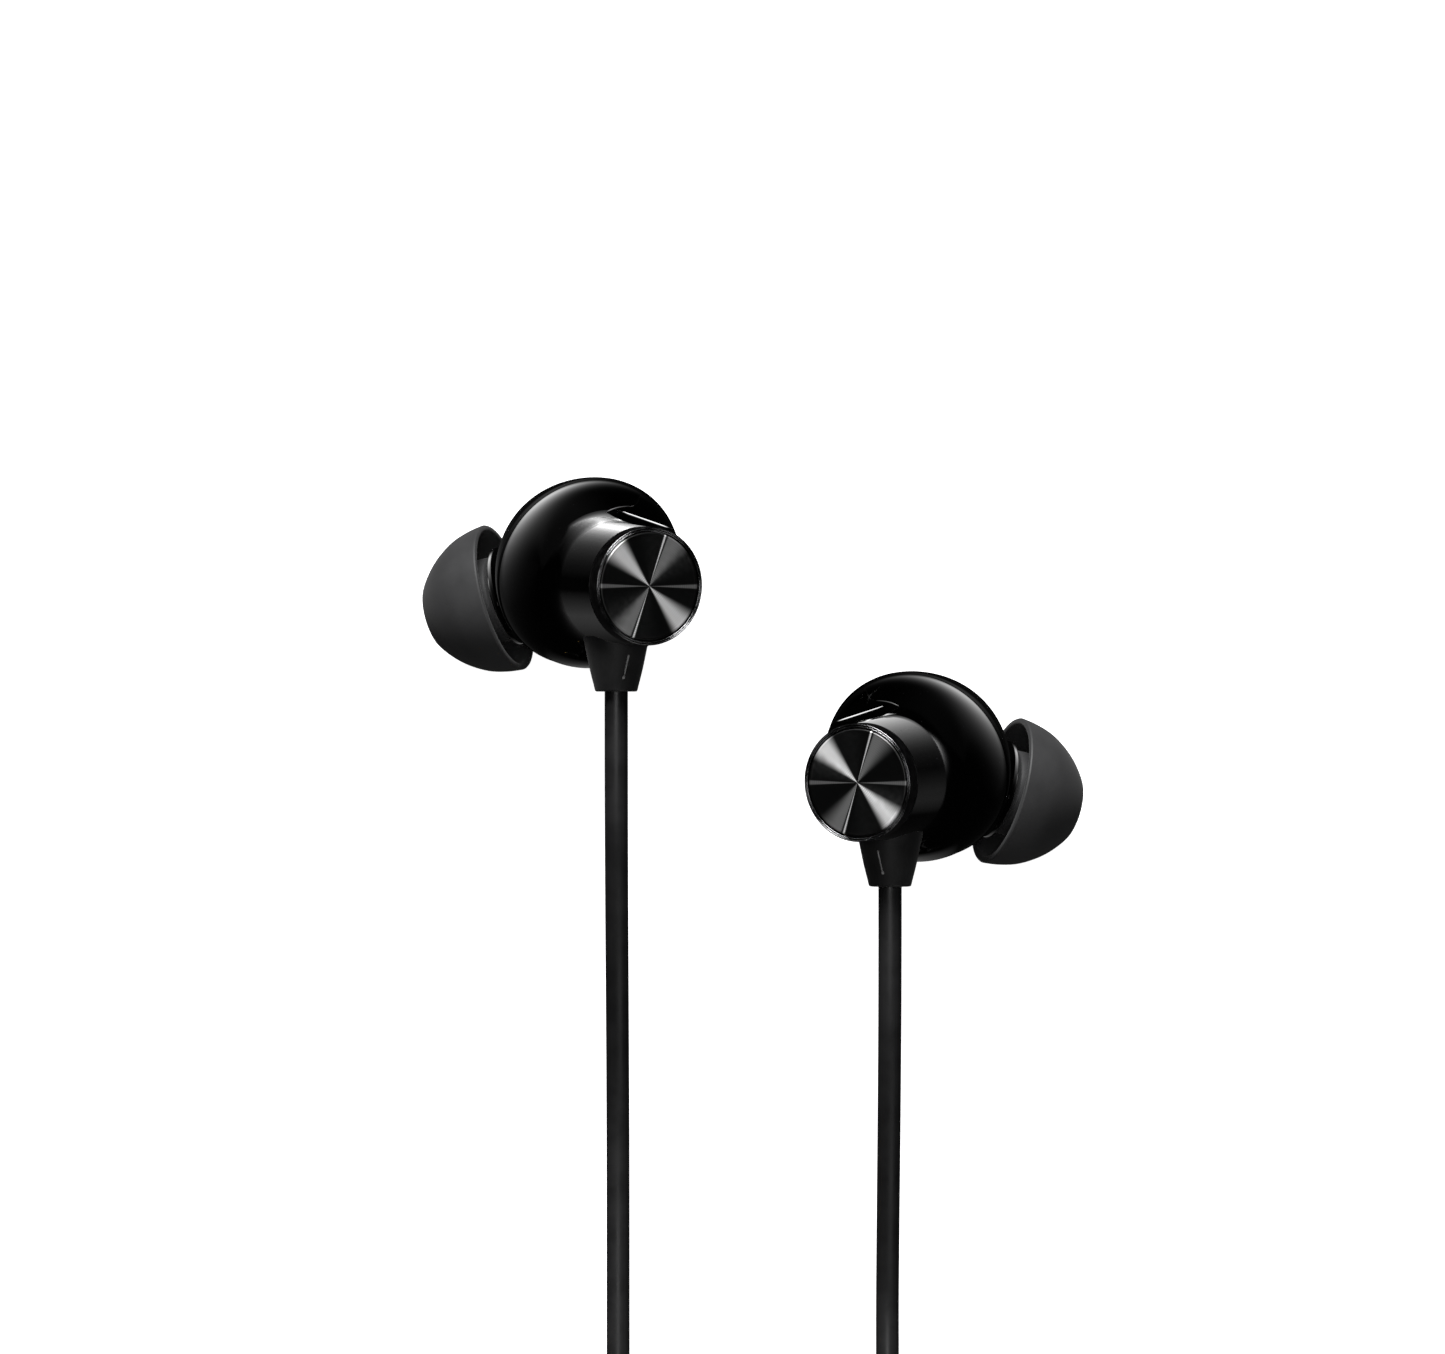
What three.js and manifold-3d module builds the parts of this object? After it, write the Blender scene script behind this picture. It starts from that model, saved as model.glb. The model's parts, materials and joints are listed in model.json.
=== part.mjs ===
// Wired in-ear earphones, laid out flat on a table with the spare cord wound into a tied coil.
// Millimetres, +Z up. The origin is on the table, under the middle of the two earpieces.
// Each earpiece has a two-part shell, a driver, a rubber ear tip on an angled nozzle and a
// barrel with a magnet behind a turned metal disc. The right earpiece mirrors the left one.

import * as THREE from 'three';
import { mergeVertices } from 'three/addons/utils/BufferGeometryUtils.js';
import Module from 'manifold-3d';

const wasm = await Module();
wasm.setup();

// ---------------------------------------------------------------- driving dimensions

const GAP = 0.3;                 // clearance between neighbouring solids
const CORD_RADIUS = 0.95;

// Earpiece, seen from its shell centre: the middle of the circle where the two shells meet.
const SHELL_CENTRE = new THREE.Vector3(-13.37, 8.77, 8.27);
const RIGHT_DROP = 15.9;         // the right earpiece lies this much nearer the cord's end
const SHELL_AXIS = new THREE.Vector3(0.355, -0.283, 0.891).normalize();
const BARREL_AXIS = new THREE.Vector3(0.46, -0.05, 0.886).normalize();
const NOZZLE_AXIS = new THREE.Vector3(-0.926, -0.259, -0.274).normalize();
const DISC_OFFSET = new THREE.Vector3(4.96, -1.23, 9.17);
const CORD_AXIS = new THREE.Vector3(0, -1, 0);

const RIM_RADIUS = 7.9;
const BARREL_RADIUS = 4.8;
const SHOULDER_RADIUS = 3.0;     // convex arc beside the rim
const FILLET_RADIUS = 1.5;       // concave arc beside the barrel
const WALL = 0.9;
const BARREL_LENGTH = 10.3;      // from the rim plane to the face of the metal disc
const BARREL_END = 8.7;
const RELIEF_HEIGHT = 4.3;       // where the cord leaves the barrel
const FRONT_RADIUS = 8.09;
const FRONT_DEPTH = 7.7;
const FRONT_WIDEST = -0.5;
const FRONT_SLIM = 0.42;         // how much the front shell's flank stands in from an ellipse
const SKIRT_DISTANCE = 7.66;     // from the shell centre to the open edge of the ear tip

// Cord layout on the table.
const COIL_CENTRE = new THREE.Vector2(-4.85, -100);
const COIL_OUTER = 17;
const COIL_INNER = 5.2;
const COIL_BASE = 0.9;
const COIL_TOP = 8.75;
const PLUG_X = -23;
const PLUG_START = -91;
const REMOTE_TOP = -58.5;
const SPLIT_X = 20.03;
const SPLIT_TOP = -94;
const SPLIT_LENGTH = 10.2;
const SPLIT_HEIGHT = 3.6;

// ---------------------------------------------------------------- materials

const finish = (color, roughness, metalness) =>
  () => new THREE.MeshStandardMaterial({ color, roughness, metalness });

const glossBlack = finish(0x0c0c0e, 0.12, 0);
const silicone = finish(0x2c2d30, 0.6, 0);
const rubber = finish(0x17181a, 0.55, 0);
const cordSkin = finish(0x141516, 0.45, 0);
const darkMetal = finish(0x5a5c60, 0.25, 1);
const magnetMetal = finish(0x9a9ca0, 0.3, 1);
const steel = finish(0xb5b7ba, 0.35, 1);
const copper = finish(0xb4693c, 0.4, 1);
const film = finish(0x8c8674, 0.4, 0);
const board = finish(0x123a24, 0.5, 0);
const hook = finish(0x1b1c1e, 0.9, 0);
const gold = finish(0xc8a24a, 0.25, 1);

// ---------------------------------------------------------------- solids

function toSolid(geometry) {
  const bare = geometry.clone();
  bare.deleteAttribute('normal');
  bare.deleteAttribute('uv');
  const merged = mergeVertices(bare, 1e-5);
  return new wasm.Manifold(new wasm.Mesh({
    numProp: 3,
    vertProperties: new Float32Array(merged.attributes.position.array),
    triVerts: new Uint32Array(merged.index.array),
  }));
}

function fromSolid(solid) {
  const mesh = solid.getMesh();
  const geometry = new THREE.BufferGeometry();
  geometry.setAttribute('position', new THREE.BufferAttribute(new Float32Array(mesh.vertProperties), 3));
  geometry.setIndex(new THREE.BufferAttribute(new Uint32Array(mesh.triVerts), 1));
  return geometry;
}

function joined(...geometries) {
  return fromSolid(geometries.map(toSolid).reduce((sum, next) => sum.add(next)));
}

function cut(geometry, ...tools) {
  return fromSolid(tools.map(toSolid).reduce((rest, tool) => rest.subtract(tool), toSolid(geometry)));
}

function common(first, second) {
  return fromSolid(toSolid(first).intersect(toSolid(second)));
}

// A turned solid about +Z. The outline lists [radius, height] counter-clockwise; it starts and
// ends on the axis, or closes on itself when it is a ring.
function turned(outline, segments = 24) {
  const points = outline.map(([radius, height]) => new THREE.Vector2(radius, height));
  const onAxis = outline[0][0] === 0;
  if (!onAxis) {
    points.push(points[0].clone());
  }
  return new THREE.LatheGeometry(points, segments).rotateX(Math.PI / 2);
}

const disc = (radius, low, high, segments) =>
  turned([[0, low], [radius, low], [radius, high], [0, high]], segments);

const ring = (inner, outer, low, high, segments) =>
  turned([[inner, low], [outer, low], [outer, high], [inner, high]], segments);

// Turns +Z of a geometry to a direction and moves it to a point.
function aimed(geometry, direction, point = new THREE.Vector3()) {
  const turn = new THREE.Quaternion().setFromUnitVectors(new THREE.Vector3(0, 0, 1), direction);
  return geometry.applyQuaternion(turn).translate(point.x, point.y, point.z);
}

function block(x0, x1, y0, y1, z0, z1) {
  const box = new THREE.BoxGeometry(x1 - x0, y1 - y0, z1 - z0);
  return box.translate((x0 + x1) / 2, (y0 + y1) / 2, (z0 + z1) / 2);
}

// An upright slab with rounded corners, centred on (x, y).
function slab(x, y, width, length, corner, low, high) {
  const shape = new THREE.Shape();
  const [w, l] = [width / 2, length / 2];
  shape.moveTo(w, -l + corner);
  shape.absarc(w - corner, l - corner, corner, 0, Math.PI / 2, false);
  shape.absarc(-w + corner, l - corner, corner, Math.PI / 2, Math.PI, false);
  shape.absarc(-w + corner, -l + corner, corner, Math.PI, 1.5 * Math.PI, false);
  shape.absarc(w - corner, -l + corner, corner, 1.5 * Math.PI, 2 * Math.PI, false);
  const options = { depth: high - low, bevelEnabled: false, curveSegments: 3 };
  return new THREE.ExtrudeGeometry(shape, options).translate(x, y, low);
}

// A skin through rings of points: closed into a tube wall when it loops, capped flat otherwise.
function skin(rings, loops) {
  const count = rings[0].length;
  const positions = rings.flat().flatMap((point) => [point.x, point.y, point.z]);
  const index = [];
  const last = loops ? rings.length : rings.length - 1;
  for (let row = 0; row < last; row += 1) {
    const next = (row + 1) % rings.length;
    for (let column = 0; column < count; column += 1) {
      const beside = (column + 1) % count;
      const [a, b] = [row * count + column, row * count + beside];
      const [c, d] = [next * count + beside, next * count + column];
      index.push(a, b, c, a, c, d);
    }
  }
  if (!loops) {
    const top = (rings.length - 1) * count;
    for (let column = 1; column < count - 1; column += 1) {
      index.push(0, column + 1, column);
      index.push(top, top + column, top + column + 1);
    }
  }
  const geometry = new THREE.BufferGeometry();
  geometry.setAttribute('position', new THREE.Float32BufferAttribute(positions, 3));
  geometry.setIndex(index);
  return geometry;
}

// ---------------------------------------------------------------- earpiece shape

const FILLET_CENTRE = new THREE.Vector2(
  BARREL_RADIUS + FILLET_RADIUS,
  Math.sqrt((SHOULDER_RADIUS + FILLET_RADIUS) ** 2
    - (BARREL_RADIUS + FILLET_RADIUS - (RIM_RADIUS - SHOULDER_RADIUS)) ** 2),
);
const BARREL_FOOT = FILLET_CENTRE.y;
const SHOULDER_ANGLE = Math.atan2(
  FILLET_CENTRE.y,
  FILLET_CENTRE.x - (RIM_RADIUS - SHOULDER_RADIUS),
);

// The bowl's outline from the rim to the end of the barrel, moved inwards by an offset.
function bowlOutline(offset, end, shoulderSteps = 4, filletSteps = 4) {
  const outline = [];
  const shoulder = SHOULDER_RADIUS - offset;
  const fillet = FILLET_RADIUS + offset;
  for (let step = 0; step <= shoulderSteps; step += 1) {
    const angle = SHOULDER_ANGLE * step / shoulderSteps;
    outline.push([RIM_RADIUS - SHOULDER_RADIUS + shoulder * Math.cos(angle), shoulder * Math.sin(angle)]);
  }
  for (let step = 1; step <= filletSteps; step += 1) {
    const angle = SHOULDER_ANGLE * (1 - step / filletSteps);
    outline.push([FILLET_CENTRE.x - fillet * Math.cos(angle), FILLET_CENTRE.y - fillet * Math.sin(angle)]);
  }
  outline.push([BARREL_RADIUS - offset, end]);
  return outline;
}

// One ring of the bowl and barrel. Its centre follows a curve from the shell centre to the
// barrel's foot, and its plane turns from the shell's axis to the barrel's.
function bowlRing(radius, height, segments = 24) {
  const foot = DISC_OFFSET.clone().addScaledVector(BARREL_AXIS, BARREL_FOOT - BARREL_LENGTH);
  const share = THREE.MathUtils.clamp(height / BARREL_FOOT, 0, 1);
  const ease = share * share * (3 - 2 * share);
  const normal = SHELL_AXIS.clone().lerp(BARREL_AXIS, ease).normalize();
  const centre = new THREE.Vector3();
  if (height <= 0) {
    centre.addScaledVector(SHELL_AXIS, height);
  } else if (height >= BARREL_FOOT) {
    centre.copy(foot).addScaledVector(BARREL_AXIS, height - BARREL_FOOT);
  } else {
    const fromRim = SHELL_AXIS.clone().multiplyScalar(height);
    const fromFoot = foot.clone().addScaledVector(BARREL_AXIS, height - BARREL_FOOT);
    centre.copy(fromRim).lerp(fromFoot, ease);
  }
  const up = new THREE.Vector3(0, 1, 0);
  up.addScaledVector(normal, -up.dot(normal)).normalize();
  const side = up.clone().cross(normal);
  return Array.from({ length: segments }, (_, index) => {
    const angle = 2 * Math.PI * index / segments;
    return centre.clone()
      .addScaledVector(side, radius * Math.cos(angle))
      .addScaledVector(up, radius * Math.sin(angle));
  });
}

const bowlRings = (outline) => outline.map(([radius, height]) => bowlRing(radius, height));

// The notch beside the barrel, where the bowl's rim curls in and leaves the front shell bare.
function notchPrism(inset, low, high) {
  const shape = new THREE.Shape();
  shape.moveTo(1.35 + 2 * inset, 4.71);
  shape.quadraticCurveTo(2.1 + inset, 5.2 - inset, 3.2, 5.25 - inset);
  shape.quadraticCurveTo(4.3 + inset, 5.3 - inset, 4.25 + inset, 6.0);
  shape.quadraticCurveTo(4.1 + inset, 7.0, 1.8 + inset, 7.9);
  shape.lineTo(2.2 + inset, 11);
  shape.lineTo(12, 11);
  shape.lineTo(12, 3.3 + inset);
  shape.lineTo(6.6, 3.75 + inset);
  shape.quadraticCurveTo(3.6, 4.05 + inset, 1.35 + 2 * inset, 4.71);
  return new THREE.ExtrudeGeometry(shape, { depth: high - low, bevelEnabled: false, curveSegments: 4 })
    .translate(0, 0, low);
}

const alongBarrel = (height) =>
  DISC_OFFSET.clone().addScaledVector(BARREL_AXIS, height - BARREL_LENGTH);

// ---------------------------------------------------------------- earpiece parts
// Every function here makes one piece of the left earpiece, about the shell centre.

function backShell() {
  const outside = bowlRings(bowlOutline(0, BARREL_END));
  const inside = bowlRings(bowlOutline(WALL, BARREL_END, 2, 2)).reverse();
  const bowl = skin([...outside, ...inside], true);
  const cordHole = aimed(disc(CORD_RADIUS + GAP, 2, 6.5, 16), CORD_AXIS, alongBarrel(RELIEF_HEIGHT));
  return cut(bowl, cordHole, notchPrism(0, -4, 5.2));
}

function frontShell() {
  const domeOutline = (inset, steps) => Array.from({ length: steps + 1 }, (_, step) => {
    const angle = step / steps * Math.PI / 2;
    const height = FRONT_WIDEST - (FRONT_DEPTH + FRONT_WIDEST - inset) * Math.cos(angle);
    const slim = FRONT_SLIM * Math.sin(Math.PI * Math.min(-height / 6, 1));
    const radius = step === 0 ? 0 : (FRONT_RADIUS - inset) * Math.sin(angle) - slim;
    return [radius, height];
  });
  const spigotRadius = 6.35;
  const spigotTop = 1;
  const outside = turned([
    ...domeOutline(0, 6),
    [FRONT_RADIUS - 0.08, -GAP],
    [spigotRadius, -GAP],
    [spigotRadius, spigotTop],
    [0, spigotTop],
  ]);
  const inside = turned([
    ...domeOutline(WALL, 4).slice(0, -1),
    [spigotRadius - 0.75, FRONT_WIDEST - 1],
    [spigotRadius - 0.75, spigotTop + 1],
    [0, spigotTop + 1],
  ]);
  const flankArc = (offset, steps) => Array.from({ length: steps + 1 }, (_, step) => {
    const angle = step / steps * 1.1;
    const radius = SHOULDER_RADIUS - offset;
    return [RIM_RADIUS - SHOULDER_RADIUS + radius * Math.cos(angle), radius * Math.sin(angle)];
  });
  const flankOutline = [[6, -GAP - 0.1], ...flankArc(GAP, 4), ...flankArc(1.7, 3).reverse()];
  const flankWall = aimed(turned(flankOutline), SHELL_AXIS);
  const flank = common(flankWall, notchPrism(GAP, -5, 5));
  const crestLine = block(-3, 12, -8, 0, -3, 9)
    .rotateZ(-0.34)
    .translate(3.03, 4.55, 0);
  const collar = turned([
    [0, 3.5],
    [3.2, 3.5],
    [3.2, 7.1],
    [4.1, 7.1],
    [4.1, 7.45],
    [2.3, 7.6],
    [2.3, 11.86],
    [0, 11.86],
  ], 16);
  const bore = disc(1.75, 3, 13, 12);
  const body = joined(
    aimed(outside, SHELL_AXIS),
    aimed(collar, NOZZLE_AXIS),
  );
  const hollow = joined(aimed(inside, SHELL_AXIS), aimed(bore, NOZZLE_AXIS));
  return joined(cut(body, hollow), cut(flank, crestLine));
}

function earTip() {
  const outline = [
    [6.15, 0],
    [6.05, 1.2],
    [5.7, 2.5],
    [5.05, 3.75],
    [4.3, 4.85],
    [3.2, 5.9],
    [2.4, 6.35],
    [1.95, 6.3],
    [1.9, 5.0],
    [2.75, 4.75],
    [2.75, 0.4],
    [3.45, 0.4],
    [3.5, 3.2],
    [4.0, 3.9],
    [4.5, 3.4],
    [5.1, 2.3],
    [5.55, 0],
  ];
  return aimed(turned(outline, 20), NOZZLE_AXIS, NOZZLE_AXIS.clone().multiplyScalar(SKIRT_DISTANCE));
}

function strainRelief() {
  const grip = turned([
    [0, 2.6],
    [CORD_RADIUS, 2.6],
    [CORD_RADIUS, 4.3],
    [2.7, 4.3],
    [2.52, 5.2],
    [2.1, 7.1],
    [1.8, 8.35],
    [1.62, 8.68],
    [1.3, 8.83],
    [0, 8.83],
  ], 16);
  const clearance = skin([
    bowlRing(RIM_RADIUS + GAP, -2),
    ...bowlRings(bowlOutline(-GAP, BARREL_END)),
  ], false);
  const stub = disc(CORD_RADIUS, 2.6, 6.5, 12);
  const outside = cut(aimed(grip, CORD_AXIS, alongBarrel(RELIEF_HEIGHT)), clearance);
  return joined(outside, aimed(stub, CORD_AXIS, alongBarrel(RELIEF_HEIGHT)));
}

const onShell = (geometry) => aimed(geometry, SHELL_AXIS);
const onBarrel = (geometry) => aimed(geometry, BARREL_AXIS, alongBarrel(0));

const EARPIECE = {
  back_shell: [glossBlack, backShell],
  front_shell: [glossBlack, frontShell],
  ear_tip: [silicone, earTip],
  nozzle_screen: [steel, () => aimed(disc(1.45, 11.2, 11.5, 12), NOZZLE_AXIS)],
  bezel_ring: [darkMetal, () => onBarrel(turned([
    [3.5, 9.0], [4.81, 9.0], [4.81, 10.4], [4.5, 10.4], [4.5, 9.35], [3.5, 9.35],
  ], 28))],
  end_disc: [darkMetal, () => onBarrel(disc(4.2, 9.65, BARREL_LENGTH, 28))],
  latch_magnet: [magnetMetal, () => onBarrel(disc(3.3, 6.9, 8.7, 16))],
  strain_relief: [rubber, strainRelief],
  cord_knot: [cordSkin, () => aimed(
    turned([[0, 0.2], [1.2, 0.4], [1.7, 1.2], [1.2, 2.0], [0, 2.2]], 16),
    CORD_AXIS,
    alongBarrel(RELIEF_HEIGHT),
  )],
  terminal_board: [board, () => onShell(disc(2.8, 1.75, 2.25, 16))],
  driver_frame: [steel, () => onShell(turned([
    [1, 0.9], [4.6, 0.9], [4.6, -1.9], [5.2, -1.9], [5.2, 1.4], [1, 1.4],
  ], 18))],
  driver_magnet: [magnetMetal, () => onShell(disc(2.6, -0.7, 0.6, 16))],
  pole_plate: [steel, () => onShell(disc(2.6, -1.6, -1.0, 16))],
  voice_coil: [copper, () => onShell(ring(2.95, 3.25, -2.2, -0.5, 16))],
  diaphragm: [film, () => onShell(turned([
    [0, -3.0], [2.2, -2.85], [4.4, -2.85], [4.4, -2.6], [2.2, -2.6], [0, -2.75],
  ], 16))],
  driver_grille: [steel, () => onShell(turned([
    [1.2, -3.9], [5.2, -3.9], [5.2, -2.2], [4.8, -2.2], [4.8, -3.6], [1.2, -3.6],
  ], 18))],
};

// ---------------------------------------------------------------- cord and what is on it

const at = (x, y, z) => new THREE.Vector3(x, y, z);

// Points on an arc about (x, y), from one angle to another in degrees, rising evenly.
function arc(x, y, radius, from, to, lowZ, highZ, steps = 6) {
  return Array.from({ length: steps + 1 }, (_, step) => {
    const share = step / steps;
    const angle = THREE.MathUtils.degToRad(from + (to - from) * share);
    return at(x + radius * Math.cos(angle), y + radius * Math.sin(angle), lowZ + (highZ - lowZ) * share);
  });
}

function cordTube(points, steps) {
  const path = new THREE.CatmullRomCurve3(points, false, 'centripetal');
  const sides = Array.from({ length: 8 }, (_, side) => {
    const angle = side / 8 * 2 * Math.PI;
    return new THREE.Vector2(CORD_RADIUS * Math.cos(angle), CORD_RADIUS * Math.sin(angle));
  });
  return new THREE.ExtrudeGeometry(new THREE.Shape(sides), { steps, bevelEnabled: false, extrudePath: path });
}

const RELIEF_EXIT = alongBarrel(RELIEF_HEIGHT).addScaledVector(CORD_AXIS, 8.83 + GAP).add(SHELL_CENTRE);
const CORD_X = RELIEF_EXIT.x;
const EXIT_Z = RELIEF_EXIT.z;

// The stretch from an earpiece down to the table, listed as [distance below the exit, height].
const DESCENT = [[0, EXIT_Z], [6, 11.9], [12, 11.0], [20, 8.2], [28, 4.7], [35, 2.25], [42, 1.2], [48, 0.98]];

const ROUTES = {
  left_cord: [30, [
    ...DESCENT.map(([run, z]) => at(CORD_X, RELIEF_EXIT.y - run, z)),
    at(CORD_X, -58, 1),
    at(CORD_X, -66, 1.3),
    at(CORD_X, -73, 3.2),
    ...arc(COIL_CENTRE.x - 0.12, -78.8, 6.2, 180, 214, 5.1, 5.75, 3),
  ]],
  right_cord_upper: [16, [
    ...DESCENT.slice(0, 6).map(([run, z]) => at(-CORD_X, RELIEF_EXIT.y - RIGHT_DROP - run, z)),
    at(-CORD_X, REMOTE_TOP + GAP, 2.4),
  ]],
  right_cord_lower: [5, [
    at(-CORD_X, -82.8, 2.4),
    at(-CORD_X, -85.5, 2.7),
    at(-CORD_X, -88.5, 4.0),
    at(-CORD_X, -91.6, 5.6),
  ]],
  right_cord_end: [9, [
    at(4.2, -84, 7.7),
    at(9, -84, 7.6),
    ...arc(13, -92, 8, 90, 0, 7.2, 2.2),
    at(21.0, SPLIT_TOP + GAP, 1.8),
  ]],
  left_cord_end: [7, [
    at(7.1, -85.95, 7.65),
    at(10, -85.95, 7.5),
    ...arc(13, -92, 6.05, 90, 0, 7.1, 2.2),
    at(19.05, SPLIT_TOP + GAP, 1.8),
  ]],
  main_cord_start: [24, [
    at(SPLIT_X, SPLIT_TOP - SPLIT_LENGTH - GAP, 1.8),
    ...arc(-0.37, -105.8, 20.4, 0, -163, 1.4, 1.8, 14),
  ]],
  main_cord_end: [4, [
    at(-22.65, -95.2, 3.1),
    at(-22.9, -93.3, 2.85),
    at(PLUG_X, PLUG_START - GAP, 2.75),
  ]],
};

// The tie is a strap once round the coil's bundle, on the side away from the earpieces.
function cordTie() {
  const width = 5;
  const middle = (COIL_OUTER + COIL_INNER) / 2 - 0.35;
  const reach = COIL_OUTER - COIL_INNER + 1.9;
  const outer = slab(0, 0, reach + 1.4, 9.7, 1.6, 0, width);
  const inner = slab(0, 0, reach, 8.5, 1.2, -1, width + 1);
  return cut(outer, inner)
    .rotateX(Math.PI / 2)
    .rotateZ(Math.PI / 2)
    .translate(COIL_CENTRE.x - width / 2, COIL_CENTRE.y - middle, 4.85);
}

const CORD_PARTS = {
  cord_coil: [cordSkin, () => ring(COIL_INNER, COIL_OUTER, COIL_BASE, COIL_TOP, 36)
    .translate(COIL_CENTRE.x, COIL_CENTRE.y, 0)],
  cord_tie: [hook, cordTie],
};

// The splitter is a two-part clamp where the branches join the main cord.
function splitHalf(low, high, cavityLow, cavityHigh) {
  const middle = SPLIT_TOP - SPLIT_LENGTH / 2;
  return cut(
    slab(SPLIT_X, middle, 6, SPLIT_LENGTH, 1.6, low, high),
    slab(SPLIT_X, middle, 4.2, SPLIT_LENGTH - 1.8, 0.9, cavityLow, cavityHigh),
  );
}

CORD_PARTS.splitter_lower_half = [rubber, () => splitHalf(0, 1.65, 0.8, 2)];
CORD_PARTS.splitter_upper_half = [rubber, () => splitHalf(1.65 + GAP, SPLIT_HEIGHT, 1.5, 2.8)];

// The inline remote is two covers round a board, a microphone and three buttons.
const REMOTE = { x: -CORD_X, middle: -70.5, width: 7, length: 18, corner: 2.2, height: 4.8 };
const BUTTON_PITCH = 4.7;
const BUTTON_NAMES = ['volume_up_button', 'play_button', 'volume_down_button'];

function remoteSlab(inset, low, high) {
  const { x, middle, width, length, corner } = REMOTE;
  return slab(x, middle, width - 2 * inset, length - 2 * inset, corner - inset, low, high);
}

function button(index, inset, low, high) {
  const y = REMOTE.middle + (1 - index) * BUTTON_PITCH;
  return slab(REMOTE.x, y, 4.2 - 2 * inset, 4.0 - 2 * inset, 1.2 - inset, low, high);
}

function remoteCover(low, high, cavityLow, cavityHigh, holes) {
  return cut(remoteSlab(0, low, high), remoteSlab(0.8, cavityLow, cavityHigh), ...holes);
}

function remoteBoot(end) {
  const outline = [[0, 0], [2.1, 0], [1.9, 1.2], [1.3, 2.7], [0, 2.7]];
  const y = REMOTE.middle + end * (REMOTE.length / 2 + GAP);
  return aimed(turned(outline, 16), at(0, end, 0), at(REMOTE.x, y, 2.4));
}

const BUTTON_HOLES = () => BUTTON_NAMES.map((_, index) => button(index, 0, 3.5, 6));
CORD_PARTS.remote_back_cover = [glossBlack, () => remoteCover(0, 2.25, 0.7, 3, [])];
CORD_PARTS.remote_front_cover = [glossBlack, () => remoteCover(2.55, REMOTE.height, 2, 4.1, BUTTON_HOLES())];
CORD_PARTS.remote_board = [board, () => remoteSlab(1.3, 1.1, 1.6)];
CORD_PARTS.remote_microphone = [steel, () => block(10.1, 12.3, -78.0, -76.9, 1.9, 2.8)];
CORD_PARTS.remote_upper_boot = [rubber, () => remoteBoot(1)];
CORD_PARTS.remote_lower_boot = [rubber, () => remoteBoot(-1)];
BUTTON_NAMES.forEach((name, index) => {
  CORD_PARTS[name] = [rubber, () => button(index, GAP, 2.6, REMOTE.height + 0.35)];
});

// The plug is a four-contact 3.5 mm jack that lies along +Y.
const onPlug = (geometry) => aimed(geometry, at(0, 1, 0), at(PLUG_X, PLUG_START, 2.75));
const CONTACT_RADIUS = 1.75;
const PLUG_FACE = 18.3;
// The contacts start in a shallow counterbore, so that the barrel's face is a ring round them.
const PLUG_SEAT = 17.7;
const SLEEVE_END = 22.8;

const contact = (start, length) => () => onPlug(ring(1.2, CONTACT_RADIUS, start, start + length, 12));
const SPACER_PITCH = 2.7;
const FIRST_SPACER = SLEEVE_END + GAP;

function plugInsulator() {
  const outline = [[0, PLUG_SEAT + GAP], [0.9, PLUG_SEAT + GAP]];
  for (let spacer = 0; spacer < 3; spacer += 1) {
    const start = FIRST_SPACER + spacer * SPACER_PITCH;
    outline.push([0.9, start], [1.7, start], [1.7, start + 0.4]);
    if (spacer < 2) {
      outline.push([0.9, start + 0.4]);
    }
  }
  outline.push([0, FIRST_SPACER + 2 * SPACER_PITCH + 0.4]);
  return onPlug(turned(outline, 12));
}

CORD_PARTS.plug_boot = [rubber, () => onPlug(turned([[0, 0], [1.3, 0], [2.2, 6.7], [0, 6.7]], 16))];
CORD_PARTS.plug_barrel = [glossBlack, () => onPlug(turned([
  [0, 7], [2.5, 7], [2.72, 7.3], [2.72, 17.2], [2.6, 17.5], [2.6, PLUG_FACE], [2.05, PLUG_FACE],
  [2.05, PLUG_SEAT], [0, PLUG_SEAT],
], 16))];
CORD_PARTS.plug_sleeve = [gold, contact(PLUG_SEAT + GAP, SLEEVE_END - PLUG_SEAT - GAP)];
CORD_PARTS.plug_ring_2 = [gold, contact(FIRST_SPACER + 0.7, 1.7)];
CORD_PARTS.plug_ring_1 = [gold, contact(FIRST_SPACER + SPACER_PITCH + 0.7, 1.7)];
CORD_PARTS.plug_insulator = [rubber, plugInsulator];
CORD_PARTS.plug_tip = [gold, () => {
  const foot = FIRST_SPACER + 2 * SPACER_PITCH + 0.7;
  return onPlug(turned([
    [0, foot], [1.5, foot], [1.25, foot + 0.7], [1.75, foot + 1.6], [1.2, foot + 2.6], [0, foot + 3.2],
  ], 12));
}];

// ---------------------------------------------------------------- assembly

const earphones = new THREE.Group();

function place(parent, name, geometry, material) {
  const mesh = new THREE.Mesh(geometry, material());
  mesh.name = name;
  parent.add(mesh);
}

// A mirror image in X, with its faces turned back outwards.
function mirrored(geometry) {
  const copy = geometry.index ? geometry.toNonIndexed() : geometry.clone();
  const points = copy.attributes.position;
  for (let corner = 0; corner < points.count; corner += 3) {
    const second = new THREE.Vector3().fromBufferAttribute(points, corner + 1);
    const third = new THREE.Vector3().fromBufferAttribute(points, corner + 2);
    points.setXYZ(corner + 1, third.x, third.y, third.z);
    points.setXYZ(corner + 2, second.x, second.y, second.z);
  }
  for (let corner = 0; corner < points.count; corner += 1) {
    points.setX(corner, -points.getX(corner));
  }
  const bare = new THREE.BufferGeometry();
  bare.setAttribute('position', points);
  return mergeVertices(bare, 1e-5);
}

const left = new THREE.Group();
const right = new THREE.Group();
left.position.copy(SHELL_CENTRE);
right.position.set(-SHELL_CENTRE.x, SHELL_CENTRE.y - RIGHT_DROP, SHELL_CENTRE.z);
earphones.add(left, right);

for (const [name, [material, build]] of Object.entries(EARPIECE)) {
  const geometry = build();
  place(left, `left_${name}`, geometry, material);
  place(right, `right_${name}`, mirrored(geometry), material);
}

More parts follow.
